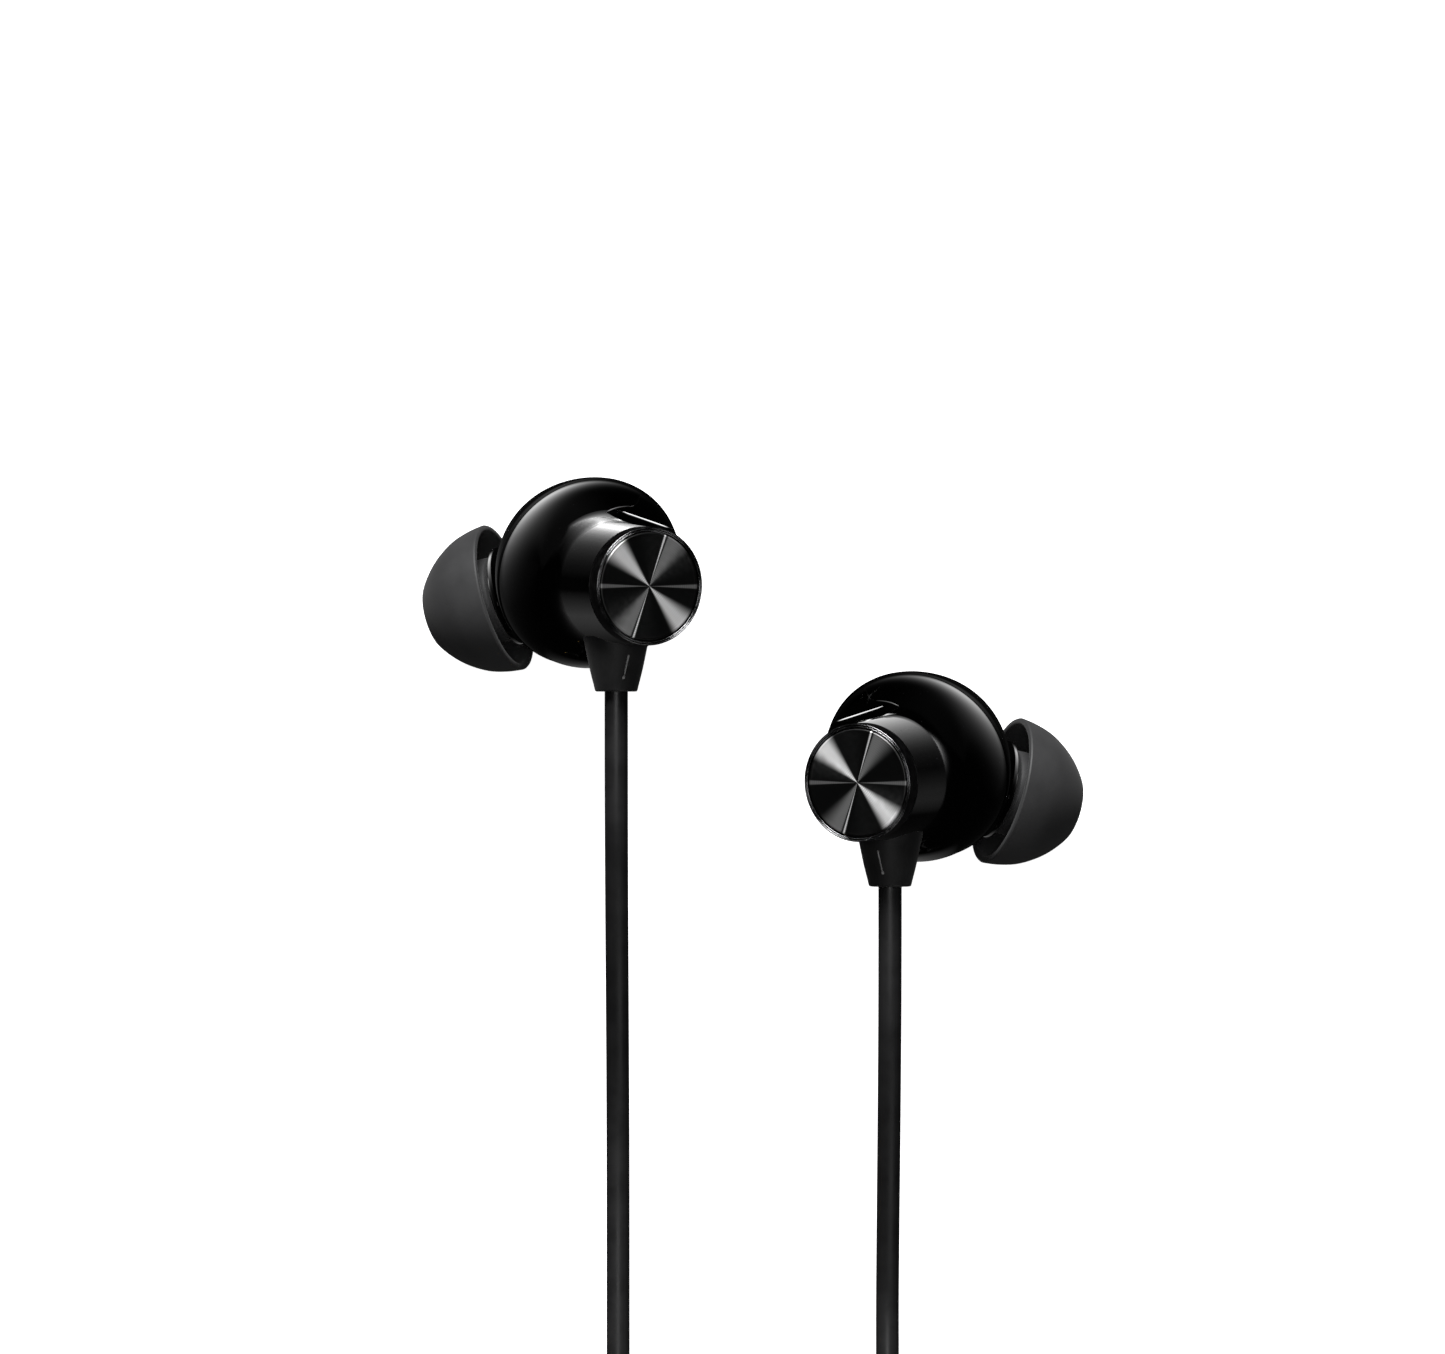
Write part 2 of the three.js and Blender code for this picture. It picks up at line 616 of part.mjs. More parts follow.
for (const [name, [steps, points]] of Object.entries(ROUTES)) {
  place(earphones, name, cordTube(points, steps), cordSkin);
}

for (const [name, [material, build]] of Object.entries(CORD_PARTS)) {
  place(earphones, name, build(), material);
}

export default earphones;
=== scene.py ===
"""Wired earphones: the fine surfaces, cords, materials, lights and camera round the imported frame.

Shapes are written in millimetres and turned into metres as each object is made.
An earpiece's pieces are made once, as the left earpiece about its shell centre; the right
earpiece is their mirror image.
"""
import json
import math

import bmesh
import bpy
from mathutils import Matrix, Vector
from mathutils.bvhtree import BVHTree


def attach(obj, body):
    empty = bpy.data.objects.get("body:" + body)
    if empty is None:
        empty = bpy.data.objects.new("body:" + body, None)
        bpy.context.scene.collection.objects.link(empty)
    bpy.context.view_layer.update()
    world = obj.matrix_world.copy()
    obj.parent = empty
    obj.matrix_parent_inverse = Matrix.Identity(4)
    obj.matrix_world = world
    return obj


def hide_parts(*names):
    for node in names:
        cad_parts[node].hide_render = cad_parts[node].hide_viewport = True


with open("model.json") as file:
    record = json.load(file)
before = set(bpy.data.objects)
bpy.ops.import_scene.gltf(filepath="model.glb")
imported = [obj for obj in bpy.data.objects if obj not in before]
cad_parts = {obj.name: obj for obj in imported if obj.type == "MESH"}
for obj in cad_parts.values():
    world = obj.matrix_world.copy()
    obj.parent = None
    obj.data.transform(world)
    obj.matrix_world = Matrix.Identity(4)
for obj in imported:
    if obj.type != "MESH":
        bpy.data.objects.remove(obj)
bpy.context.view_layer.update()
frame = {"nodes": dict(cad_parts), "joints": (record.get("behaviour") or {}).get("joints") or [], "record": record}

# ---- sizes and places

MM = 0.001
MOUNTS = {mount["name"]: mount for mount in frame["record"]["mounts"]}
JOINTS = {joint["name"]: joint for joint in frame["joints"]}
SIDES = {"left": 1, "right": -1}

SHELL_AXIS = Vector(JOINTS["left_cone_stroke"]["axis"]).normalized()
NOZZLE_AXIS = Vector(JOINTS["left_tip_pull_off"]["axis"]).normalized()
BARREL_AXIS = Vector(MOUNTS["left_magnetic_face"]["axis"]).normalized()
CORD_AXIS = Vector((0, -1, 0))
DISC_OFFSET = Vector((4.96, -1.23, 9.17))      # from the shell centre to the disc's face
DISC_CENTRE = {side: Vector(MOUNTS[f"{side}_magnetic_face"]["pos_m"]) / MM for side in SIDES}
SHELL_CENTRE = {
    side: DISC_CENTRE[side] - Vector((sign * DISC_OFFSET.x, DISC_OFFSET.y, DISC_OFFSET.z))
    for side, sign in SIDES.items()
}

RIM_RADIUS = 7.9
BARREL_RADIUS = 4.8
SHOULDER_RADIUS = 3.0
FILLET_RADIUS = 1.5
TAPER = math.radians(2)
BARREL_FOOT = 4.2
WALL = 0.9
ARC_STEPS = 30
BOWL_SEGMENTS = 144
DOME_STEPS = 28
BEAD_SEGMENTS = 16
BARREL_LENGTH = 10.3
BARREL_END = 8.93
RELIEF_HEIGHT = 4.3
RELIEF_LENGTH = 8.83
FRONT_RADIUS = 8.09
FRONT_DEPTH = 7.7
FRONT_WIDEST = -0.5
FRONT_SLIM = 0.42
SKIRT_DISTANCE = 7.66
CORD_RADIUS = 0.95

COIL_X, COIL_Y = -4.85, -100
COIL_RADIUS = 16
TURN_PITCH = 1.95
LAYER_Z = [1.86, 3.81, 5.76, 7.71]
PLUG_X, PLUG_START, PLUG_Z = -23, -91, 2.75
REMOTE_MIDDLE = -70.5
SPLIT_X, SPLIT_TOP, SPLIT_LENGTH = 20.03, -94, 10.2

# ---- camera, floor and light

CAMERA_DISTANCE = 0.62
FLOOR_REACH = 3
FLOOR_GLOW = 0.95
AMBIENT = 0.008
VIEW_WIDTH = 0.1185            # what the frame's width covers at the earpieces' middle height
VIEW_CENTRE = Vector((-0.0025, 0.0002, 0.009))


def placed(name, data):
    """A new object in the scene."""
    made = bpy.data.objects.new(name, data)
    bpy.context.scene.collection.objects.link(made)
    return made


def make_camera():
    data = bpy.data.cameras.new("camera")
    data.sensor_width = 36
    data.lens = data.sensor_width * CAMERA_DISTANCE / VIEW_WIDTH
    data.clip_start = 0.01
    data.clip_end = 10
    camera = placed("camera", data)
    camera.location = VIEW_CENTRE + Vector((0, 0, CAMERA_DISTANCE))
    bpy.context.scene.camera = camera


def make_floor():
    mesh = bpy.data.meshes.new("floor")
    corners = [(x * FLOOR_REACH, y * FLOOR_REACH, 0) for x, y in ((-1, -1), (1, -1), (1, 1), (-1, 1))]
    mesh.from_pydata(corners, [], [(0, 1, 2, 3)])
    floor = placed("floor", mesh)
    floor.visible_glossy = False
    floor.visible_diffuse = False
    material = new_material("floor", Base_Color=(0.9, 0.9, 0.9), Roughness=0.9, Specular_IOR_Level=0,
                            Emission_Color=(1, 1, 1), Emission_Strength=FLOOR_GLOW)[0]
    mesh.materials.append(material)


def softbox(name, place, size, watts, passes_by):
    """A soft area lamp that lights everything but the pieces of one collection."""
    data = bpy.data.lights.new(name, "AREA")
    data.shape = "RECTANGLE"
    data.size, data.size_y = size
    data.energy = watts
    lamp = placed(name, data)
    lamp.location = place
    lamp.rotation_euler = (-Vector(place)).to_track_quat("-Z", "Y").to_euler()
    lamp.visible_camera = False
    lamp.light_linking.receiver_collection = passes_by


def make_world():
    """A dim studio, with a white backdrop behind everything."""
    world = bpy.data.worlds.new("studio")
    bpy.context.scene.world = world
    world.use_nodes = True
    graph = Graph(world.node_tree)
    background = world.node_tree.nodes["Background"]
    background.inputs["Color"].default_value = (1, 1, 1, 1)
    is_camera = graph.node("ShaderNodeLightPath").outputs["Is Camera Ray"]
    graph.link(graph.ramp_value(is_camera, 0, 1, AMBIENT, 1.0), background.inputs["Strength"])


def make_light_tent(side, part, receivers):
    """A soft light tent round one earpiece, for the glossy pieces of one part of it alone."""
    name = f"{side}_{part}_tent"
    mesh = bpy.data.meshes.new(name)
    ball = bmesh.new()
    bmesh.ops.create_uvsphere(ball, u_segments=48, v_segments=24, radius=TENT_RADIUS[part])
    ball.to_mesh(mesh)
    ball.free()
    tent = placed(name, mesh)
    tent.location = SHELL_CENTRE[side] * MM
    tent.scale.x = SIDES[side]
    for ray in ("camera", "diffuse", "transmission", "volume_scatter", "shadow"):
        setattr(tent, f"visible_{ray}", False)
    tent.light_linking.receiver_collection = receivers
    material = bpy.data.materials.new(name)
    material.use_nodes = True
    material.cycles.emission_sampling = "NONE"
    tree = material.node_tree
    tree.nodes.clear()
    graph = Graph(tree)
    straight = graph.node("ShaderNodeVectorMath", operation="NORMALIZE")
    graph.link(graph.place(), straight.inputs[0])
    x, y, z = graph.split(straight.outputs["Vector"])
    polar = graph.math("DIVIDE", graph.math("ARCCOSINE", z), math.pi)
    turn = graph.math("FRACT", graph.math("DIVIDE", graph.math("ARCTAN2", y, x), 2 * math.pi))
    total = None
    for power, lean, down, around in LIGHT_CARDS[side, part]:
        rise = graph.colours(polar, [(a / 180, (v,) * 3) for a, v in down])
        leant = graph.math("MULTIPLY", graph.math("SUBTRACT", 0.5, polar), lean / 2)
        leant = graph.math("ADD", turn, leant)
        spread = graph.colours(leant, [(a / 360, (v,) * 3) for a, v in around])
        glow = graph.math("MULTIPLY", graph.math("MULTIPLY", rise, spread), power)
        total = glow if total is None else graph.math("ADD", total, glow)
    emission = graph.node("ShaderNodeEmission")
    graph.link(total, emission.inputs["Strength"])
    clear = graph.node("ShaderNodeBsdfTransparent")
    both = graph.node("ShaderNodeAddShader")
    graph.link(emission.outputs["Emission"], both.inputs[0])
    graph.link(clear.outputs["BSDF"], both.inputs[1])
    output = graph.node("ShaderNodeOutputMaterial")
    graph.link(both.outputs["Shader"], output.inputs["Surface"])
    mesh.materials.append(material)


def pieces_named(name, pieces, leave_out=False):
    """A collection that links lamps to pieces, or keeps them from those pieces."""
    group = bpy.data.collections.new(name)
    for piece in pieces:
        group.objects.link(piece)
    if leave_out:
        for item in group.collection_objects:
            item.light_linking.link_state = "EXCLUDE"
    return group


# How a light card's brightness fades away from its peak: the steps on each side, and the
# exponent at which it counts as dark.
FADE_STEPS = 12
FADE_END = 6.9


def fade(peak, before, after, sharpness=2):
    """A light's brightness against an angle in degrees. It falls off at its own pace on each side
    of its peak: as a bell for a sharpness of 2, and as a plain exponential for 1."""
    reach = FADE_END ** (1 / sharpness)
    stops = []
    for step in range(-FADE_STEPS, FADE_STEPS + 1):
        away = step / FADE_STEPS * reach
        angle = peak + away * (before if step < 0 else after)
        value = math.exp(-abs(away) ** sharpness) if abs(step) < FADE_STEPS else 0
        if angle >= 0:
            stops.append((angle, value))
    return stops


# The light cards on the tents. Each has its power, its lean, its brightness against the angle down
# from straight up, and its brightness against the angle round (from outwards on the left earpiece,
# mirrored on the right one). Angles are in degrees; a card with a lean moves round as it goes down.
TENT_RADIUS = {"bowl": 2.0, "barrel": 2.3}
HIGH_DOWN = [(0, 0.6), (40, 1), (56, 0)]
HIGH_AROUND = [(0, 0.8), (20, 1), (110, 1), (132, 0.3), (146, 0), (300, 0), (330, 0.5)]
CREST_DOWN = [(98, 0), (106, 1), (124, 1), (134, 0)]
CREST_AROUND = [(36, 0), (44, 1), (62, 1), (70, 0)]
RIM_DOWN = fade(110, 40, 15)
RIM_AROUND = fade(120, 33, 33)
LIGHT_CARDS = {
    ("left", "bowl"): [
        (0.07, 0, HIGH_DOWN, HIGH_AROUND),
        (8.4, 0, RIM_DOWN, RIM_AROUND),
        (0.07, 0, [(0, 0.2), (90, 1)], fade(180, 20, 30)),
        (0.25, 0, [(112, 0), (130, 0.5), (150, 1)], [(240, 0), (270, 1), (290, 1), (305, 0)]),
    ],
    ("right", "bowl"): [
        (0.03, 0, HIGH_DOWN, HIGH_AROUND),
        (6.6, 0, RIM_DOWN, RIM_AROUND),
        (0.3, 0, [(108, 0), (130, 1), (180, 0.6)], [(244, 0), (270, 1), (290, 1), (305, 0)]),
    ],
    ("left", "barrel"): [
        (0.07, 0, HIGH_DOWN, HIGH_AROUND),
        (14, 0, CREST_DOWN, CREST_AROUND),
        (18, 0.45, [(32, 0), (64, 1), (120, 0.8), (132, 0.38), (180, 0.1)], fade(76, 13, 12, 1)),
        (0.26, 0, fade(125, 30, 30), [(186, 0), (214, 1), (238, 0.4), (262, 0)]),
    ],
    ("right", "barrel"): [
        (0.03, 0, HIGH_DOWN, HIGH_AROUND),
        (14, 0, CREST_DOWN, CREST_AROUND),
        (2.4, 0, fade(109, 24, 7), fade(139, 11, 20)),
        (1.1, 0, [(112, 0), (120, 1), (180, 1)], fade(104, 25, 27)),
        (0.1, 0, [(104, 0), (120, 1), (134, 1), (150, 0)], [(168, 0), (192, 1), (202, 1), (218, 0)]),
    ],
}

# ---- node helpers


class Graph:
    """Short calls for building one node tree."""

    def __init__(self, tree):
        self.tree = tree

    def node(self, kind, **settings):
        made = self.tree.nodes.new(kind)
        for key, value in settings.items():
            if key in made.inputs:
                made.inputs[key].default_value = value
            else:
                setattr(made, key, value)
        return made

    def link(self, source, target):
        self.tree.links.new(source, target)

    def math(self, operation, first, second=None):
        made = self.node("ShaderNodeMath", operation=operation)
        for socket, value in zip(made.inputs, (first, second)):
            if value is None:
                continue
            if isinstance(value, (int, float)):
                socket.default_value = value
            else:
                self.link(value, socket)
        return made.outputs["Value"]

    def feed(self, shader, **sockets):
        for socket, value in sockets.items():
            self.link(value, shader.inputs[socket.replace("_", " ")])

    def split(self, vector):
        made = self.node("ShaderNodeSeparateXYZ")
        self.link(vector, made.inputs["Vector"])
        return made.outputs["X"], made.outputs["Y"], made.outputs["Z"]

    def ramp_value(self, value, low, high, to_low=0.0, to_high=1.0):
        """A smooth step from to_low at low to to_high at high."""
        made = self.node("ShaderNodeMapRange", interpolation_type="SMOOTHSTEP")
        self.link(value, made.inputs["Value"])
        made.inputs["From Min"].default_value = low
        made.inputs["From Max"].default_value = high
        made.inputs["To Min"].default_value = to_low
        made.inputs["To Max"].default_value = to_high
        return made.outputs["Result"]

    def colours(self, value, stops, interpolation="LINEAR"):
        made = self.node("ShaderNodeValToRGB")
        ramp = made.color_ramp
        ramp.interpolation = interpolation
        while len(ramp.elements) < len(stops):
            ramp.elements.new(1.0)
        for element, (place, colour) in zip(ramp.elements, stops):
            element.position = place
            element.color = (*colour, 1)
        self.link(value, made.inputs["Fac"])
        return made.outputs["Color"]

    def noise(self, scale, detail=3, roughness=0.5):
        made = self.node("ShaderNodeTexNoise", Scale=scale, Detail=detail, Roughness=roughness)
        self.link(self.place(), made.inputs["Vector"])
        return made.outputs["Fac"]

    def place(self):
        return self.node("ShaderNodeTexCoord").outputs["Object"]

    def bump(self, height, strength, distance, normal=None):
        made = self.node("ShaderNodeBump", Strength=strength, Distance=distance)
        self.link(height, made.inputs["Height"])
        if normal is not None:
            self.link(normal, made.inputs["Normal"])
        return made.outputs["Normal"]

    def rounded_edges(self, radius):
        made = self.node("ShaderNodeBevel", samples=6)
        made.inputs["Radius"].default_value = radius
        return made.outputs["Normal"]


def new_material(name, **sockets):
    """A Principled material: plain numbers go on its sockets."""
    material = bpy.data.materials.new(name)
    material.use_nodes = True
    shader = material.node_tree.nodes["Principled BSDF"]
    for socket, value in sockets.items():
        socket = socket.replace("_", " ")
        shader.inputs[socket].default_value = (*value, 1) if isinstance(value, tuple) else value
    return material, Graph(material.node_tree), shader


def tinted(graph, shader, value, dark, light, low=0.35, high=0.65):
    """The base colour varies a little between two tones."""
    graph.feed(shader, Base_Color=graph.colours(value, [(low, dark), (high, light)]))


# ---- materials


def gloss_plastic():
    material, graph, shader = new_material("piano_black_plastic", IOR=1.5)
    speckle = graph.noise(900, 4)
    tinted(graph, shader, speckle, (0.0009, 0.0009, 0.001), (0.0016, 0.0016, 0.0018))
    graph.feed(shader, Roughness=graph.ramp_value(graph.noise(160, 3, 0.6), 0.35, 0.75, 0.06, 0.1),
               Normal=graph.bump(graph.noise(300, 2), 0.02, 0.0001))
    return material


def grained(name, tones, rough, grain, fine, rounding=None, **sockets):
    """A material of one build: a cloudy grain (scale, detail, roughness) varies its tone and its
    roughness, and a fine noise (scale, detail, roughness, strength) raises its surface."""
    material, graph, shader = new_material(name, **sockets)
    cloud = graph.noise(*grain)
    tinted(graph, shader, cloud, *tones)
    edge = graph.rounded_edges(rounding) if rounding else None
    graph.feed(shader, Roughness=graph.ramp_value(cloud, 0.3, 0.7, *rough),
               Normal=graph.bump(graph.noise(*fine[:3]), fine[3], 0.00003, edge))
    return material


def silicone():
    return grained("matte_silicone", ((0.030, 0.030, 0.031), (0.036, 0.036, 0.037)), (0.5, 0.62),
                   (260, 4, 0.6), (5200, 3, 0.6, 0.12), IOR=1.41, Sheen_Weight=0.08,
                   Sheen_Roughness=0.5)


def soft_rubber():
    return grained("satin_rubber", ((0.013, 0.013, 0.0135), (0.018, 0.018, 0.0185)), (0.42, 0.55),
                   (420, 4, 0.6), (4200, 3, 0.6, 0.16), 0.00008, IOR=1.45, Sheen_Weight=0.1)


def cord_jacket():
    return grained("cord_jacket", ((0.014, 0.014, 0.0145), (0.02, 0.02, 0.0205)), (0.36, 0.48),
                   (300, 4, 0.6), (3600, 2, 0.5, 0.1), IOR=1.45)


def plated(name, dark, light, rough_low, rough_high):
    return grained(name, (dark, light), (rough_low, rough_high), (900, 3, 0.6), (2700, 2, 0.5, 0.08),
                   Metallic=1.0)


def plain_plastic(name, dark, light, rough_low, rough_high):
    return grained(name, (dark, light), (rough_low, rough_high), (700, 4, 0.6), (3000, 2, 0.5, 0.1),
                   IOR=1.46)


def bezel_metal():
    material, graph, shader = new_material("bezel_metal", Metallic=1.0)
    turning = graph.noise(1400, 2)
    tinted(graph, shader, turning, (0.16, 0.16, 0.165), (0.24, 0.24, 0.245))
    graph.feed(shader, Roughness=graph.ramp_value(turning, 0.3, 0.7, 0.16, 0.26),
               Normal=graph.rounded_edges(0.00006))
    return material


# The sheens of the turned disc, painted into its base colour as painted highlights, by the angle in
# degrees round its axis; the far half turn repeats them. Each has where it starts, where it is at its
# full strength from and to, where it ends, and its strength: a thin line, a soft fan, a thin bright line
# beside it, and a broad bright fan.
DISC_PAINTED_SHEENS = [
    (-3, -1.5, 1.5, 3, 0.17),
    (36, 60, 67, 69.5, 0.24),
    (70.5, 71.3, 72.5, 73.4, 1.0),
    (118, 131, 137, 156, 1.0),
]
DISC_DARK = 0.005
RING_PERIOD = 0.00017          # of the fine rings in the disc's tone, in metres


def disc_metal():
    material, graph, shader = new_material("turned_disc_metal", Metallic=0.55, Anisotropic=0.85)
    x, y, _ = graph.split(graph.place())
    angle = graph.math("ARCTAN2", y, x)
    share = graph.math("FRACT", graph.math("DIVIDE", angle, math.pi))
    radius = graph.math("SQRT", graph.math("ADD", graph.math("MULTIPLY", x, x),
                                           graph.math("MULTIPLY", y, y)))
    stops = []
    for starts, full, fades, ends, strength in DISC_PAINTED_SHEENS:
        stops += [(starts, DISC_DARK), (full, strength), (fades, strength), (ends, DISC_DARK)]
    # The base colour is a painted highlight: bright sheens by the angle round the axis, on the dark tone.
    painted_sheen = graph.colours(
        share, sorted((angle % 180 / 180, (value,) * 3) for angle, value in stops), "EASE")
    rings = graph.math("SINE", graph.math("MULTIPLY", radius, 2 * math.pi / RING_PERIOD))
    depth = graph.ramp_value(rings, -1, 1, 0.84, 1.12)
    mixed = graph.node("ShaderNodeMix", data_type="RGBA", blend_type="MULTIPLY")
    mixed.inputs["Factor"].default_value = 1
    graph.link(painted_sheen, mixed.inputs["A"])
    graph.link(depth, mixed.inputs["B"])
    tangent = graph.node("ShaderNodeTangent", direction_type="RADIAL", axis="Z")
    graph.feed(shader, Base_Color=mixed.outputs["Result"], Tangent=tangent.outputs["Tangent"],
               Roughness=graph.ramp_value(graph.noise(2500, 2), 0.3, 0.7, 0.3, 0.38))
    return material


def winding():
    material, graph, shader = new_material("copper_winding", Metallic=1.0)
    grain = graph.noise(1500, 3)
    tinted(graph, shader, grain, (0.55, 0.2, 0.09), (0.75, 0.33, 0.16))
    wires = graph.node("ShaderNodeTexWave", Scale=2600, Distortion=0.4, bands_direction="Z")
    graph.link(graph.place(), wires.inputs["Vector"])
    graph.feed(shader, Roughness=graph.ramp_value(grain, 0.3, 0.7, 0.28, 0.4),
               Normal=graph.bump(wires.outputs["Fac"], 0.5, 0.00005))
    return material


def hook_tape():
    material, graph, shader = new_material("hook_and_loop_tape", Sheen_Weight=0.5)
    fuzz = graph.noise(3400, 4, 0.7)
    tinted(graph, shader, fuzz, (0.008, 0.008, 0.009), (0.032, 0.032, 0.034))
    loops = graph.node("ShaderNodeTexVoronoi", Scale=3000)
    graph.link(graph.place(), loops.inputs["Vector"])
    graph.feed(shader, Roughness=graph.ramp_value(fuzz, 0.3, 0.7, 0.8, 0.98),
               Normal=graph.bump(loops.outputs["Distance"], 0.6, 0.0001))
    return material


# The relief rib's pale colour is a painted highlight.
MARK_PAINTED_HIGHLIGHT = plain_plastic("painted_highlight_mark", (0.3, 0.3, 0.3), (0.42, 0.42, 0.42), 0.3, 0.45)
SLOT_MATERIALS = {
    "shell_gloss": gloss_plastic(),
    "tip_silicone": silicone(),
    "relief_rubber": soft_rubber(),
    "cord_skin": cord_jacket(),
    "bezel_metal": bezel_metal(),
    "disc_metal": disc_metal(),
    "magnet_metal": plated("nickel_plate", (0.42, 0.41, 0.4), (0.6, 0.59, 0.57), 0.15, 0.3),
    "steel": plated("stamped_steel", (0.32, 0.32, 0.33), (0.5, 0.5, 0.51), 0.25, 0.42),
    "copper": winding(),
    "film": plain_plastic("diaphragm_film", (0.34, 0.3, 0.2), (0.46, 0.42, 0.31), 0.25, 0.4),
    "board": plain_plastic("solder_mask", (0.008, 0.07, 0.025), (0.015, 0.11, 0.04), 0.25, 0.4),
    "tie_fabric": hook_tape(),
    "contact_gold": plated("gold_plate", (0.72, 0.48, 0.17), (0.85, 0.62, 0.27), 0.12, 0.24),
}

# ---- mesh helpers


def mesh_from(name, points, faces):
    mesh = bpy.data.meshes.new(name)
    mesh.from_pydata([tuple(point) for point in points], [], faces)
    mesh.validate()
    return mesh


def ring_mesh(name, rings, wraps, tip_start=False, tip_end=False):
    """Skins rings of points. It wraps from the last ring to the first, or ends in caps: a fan to
    one middle point where tip_start or tip_end says so, and a flat face otherwise."""
    count = len(rings[0])
    points = [point for ring in rings for point in ring]
    faces = []
    rows = len(rings) if wraps else len(rings) - 1
    for row in range(rows):
        above = (row + 1) % len(rings)
        for column in range(count):
            beside = (column + 1) % count
            faces.append((row * count + column, row * count + beside,
                          above * count + beside, above * count + column))
    if not wraps:
        last = (len(rings) - 1) * count
        for fan, start in ((tip_start, 0), (tip_end, last)):
            ring = list(range(start, start + count))
            if start == 0:
                ring.reverse()
            if fan:
                middle = sum((points[i] for i in ring), Vector()) / count
                points.append(middle)
                hub = len(points) - 1
                faces += [(ring[i], ring[(i + 1) % count], hub) for i in range(count)]
            else:
                faces.append(tuple(ring))
    return mesh_from(name, points, faces)


def closed_mesh(name, shape):
    """A mesh from a bmesh, with its faces turned outwards."""
    bmesh.ops.recalc_face_normals(shape, faces=shape.faces)
    mesh = bpy.data.meshes.new(name)
    shape.to_mesh(mesh)
    shape.free()
    return mesh


def eased(outline, radius=0.12, steps=3, closed=True):
    """Rounds every corner of an outline of (radius, height) points. A third value on a point
    is that corner's own radius, and 0 keeps it sharp."""
    result = []
    count = len(outline)
    for index, entry in enumerate(outline):
        corner = Vector(entry[:2])
        size = entry[2] if len(entry) > 2 else radius
        ends = not closed and index in (0, count - 1)
        before = Vector(outline[index - 1][:2])
        after = Vector(outline[(index + 1) % count][:2])
        if ends or size == 0:
            result.append((corner.x, corner.y))
            continue
        to_before, to_after = before - corner, after - corner
        reach = min(size, 0.45 * to_before.length, 0.45 * to_after.length)
        start = corner + to_before.normalized() * reach
        end = corner + to_after.normalized() * reach
        for step in range(steps + 1):
            share = step / steps
            point = start.lerp(corner, share).lerp(corner.lerp(end, share), share)
            result.append((point.x, point.y))
    return result


def basis(axis, up=Vector((0, 1, 0))):
    """A turn whose local Z is the axis and whose local Y is as near to up as it can be."""
    z = axis.normalized()
    if abs(z.dot(up)) > 0.99:
        up = Vector((0, 0, 1))
    y = (up - z * up.dot(z)).normalized()
    x = y.cross(z)
    return Matrix((x, y, z)).transposed()


def circle(centre, turn, radius, segments, height=0):
    """Points round a centre, in a turn's local X and Y, at a height along its local Z."""
    angles = (2 * math.pi * index / segments for index in range(segments))
    return [centre + turn @ Vector((radius * math.cos(angle), radius * math.sin(angle), height))
            for angle in angles]


def turned(name, outline, axis=Vector((0, 0, 1)), origin=Vector(), segments=96):
    """A turned solid. The outline's (radius, height) points go up the outside; it starts and ends
    on the axis, or closes on itself when it is a ring."""
    turn = basis(axis)
    on_axis = outline[0][0] < 1e-6
    inner = outline[1:-1] if on_axis else outline
    rings = [circle(origin, turn, radius, segments, height) for radius, height in inner]
    return ring_mesh(name, rings, not on_axis, on_axis, on_axis)


def fillet_centre():
    """The centre of the concave arc that joins the shoulder's arc to the tapered barrel."""
    lean = math.tan(TAPER)
    base = BARREL_RADIUS + BARREL_END * lean + FILLET_RADIUS / math.cos(TAPER)
    across = base - (RIM_RADIUS - SHOULDER_RADIUS)
    a, b = 1 + lean * lean, across * lean
    c = across * across - (SHOULDER_RADIUS + FILLET_RADIUS) ** 2
    height = (b + math.sqrt(b * b - a * c)) / a
    return base - height * lean, height


def bowl_outline(offset, end):
    """The bowl from its rim to the end of the barrel, moved inwards by offset."""
    shoulder_x = RIM_RADIUS - SHOULDER_RADIUS
    fillet_x, fillet_y = fillet_centre()
    whole = math.atan2(fillet_y, fillet_x - shoulder_x)
    outline = []
    for step in range(ARC_STEPS + 1):
        angle = whole * step / ARC_STEPS
        outline.append((shoulder_x + (SHOULDER_RADIUS - offset) * math.cos(angle),
                        (SHOULDER_RADIUS - offset) * math.sin(angle)))
    for step in range(1, ARC_STEPS + 1):
        angle = whole + (TAPER - whole) * step / ARC_STEPS
        outline.append((fillet_x - (FILLET_RADIUS + offset) * math.cos(angle),
                        fillet_y - (FILLET_RADIUS + offset) * math.sin(angle)))
    radius, foot = outline[-1]
    top = BARREL_RADIUS + (BARREL_END - end) * math.tan(TAPER) - offset
    for share in (0.25, 0.5, 0.75, 1):
        outline.append((radius + (top - radius) * share, foot + (end - foot) * share))
    return outline


def bowl_ring(radius, height):
    """One ring of the bowl: its centre and plane turn from the shell's axis to the barrel's."""
    share = min(max(height / BARREL_FOOT, 0), 1)
    ease = share * share * (3 - 2 * share)
    normal = SHELL_AXIS.lerp(BARREL_AXIS, ease).normalized()
    foot = along_barrel(BARREL_FOOT)
    if height <= 0:
        centre = SHELL_AXIS * height
    elif height >= BARREL_FOOT:
        centre = foot + BARREL_AXIS * (height - BARREL_FOOT)
    else:
        centre = (SHELL_AXIS * height).lerp(foot + BARREL_AXIS * (height - BARREL_FOOT), ease)
    return circle(centre, basis(normal), radius, BOWL_SEGMENTS)


def along_barrel(height):
    return DISC_OFFSET + BARREL_AXIS * (height - BARREL_LENGTH)


def between(first, second, start, end, place):
    """The point at place on the line from first, at start, to second, at end."""
    return first * ((end - place) / (end - start)) + second * ((place - start) / (end - start))


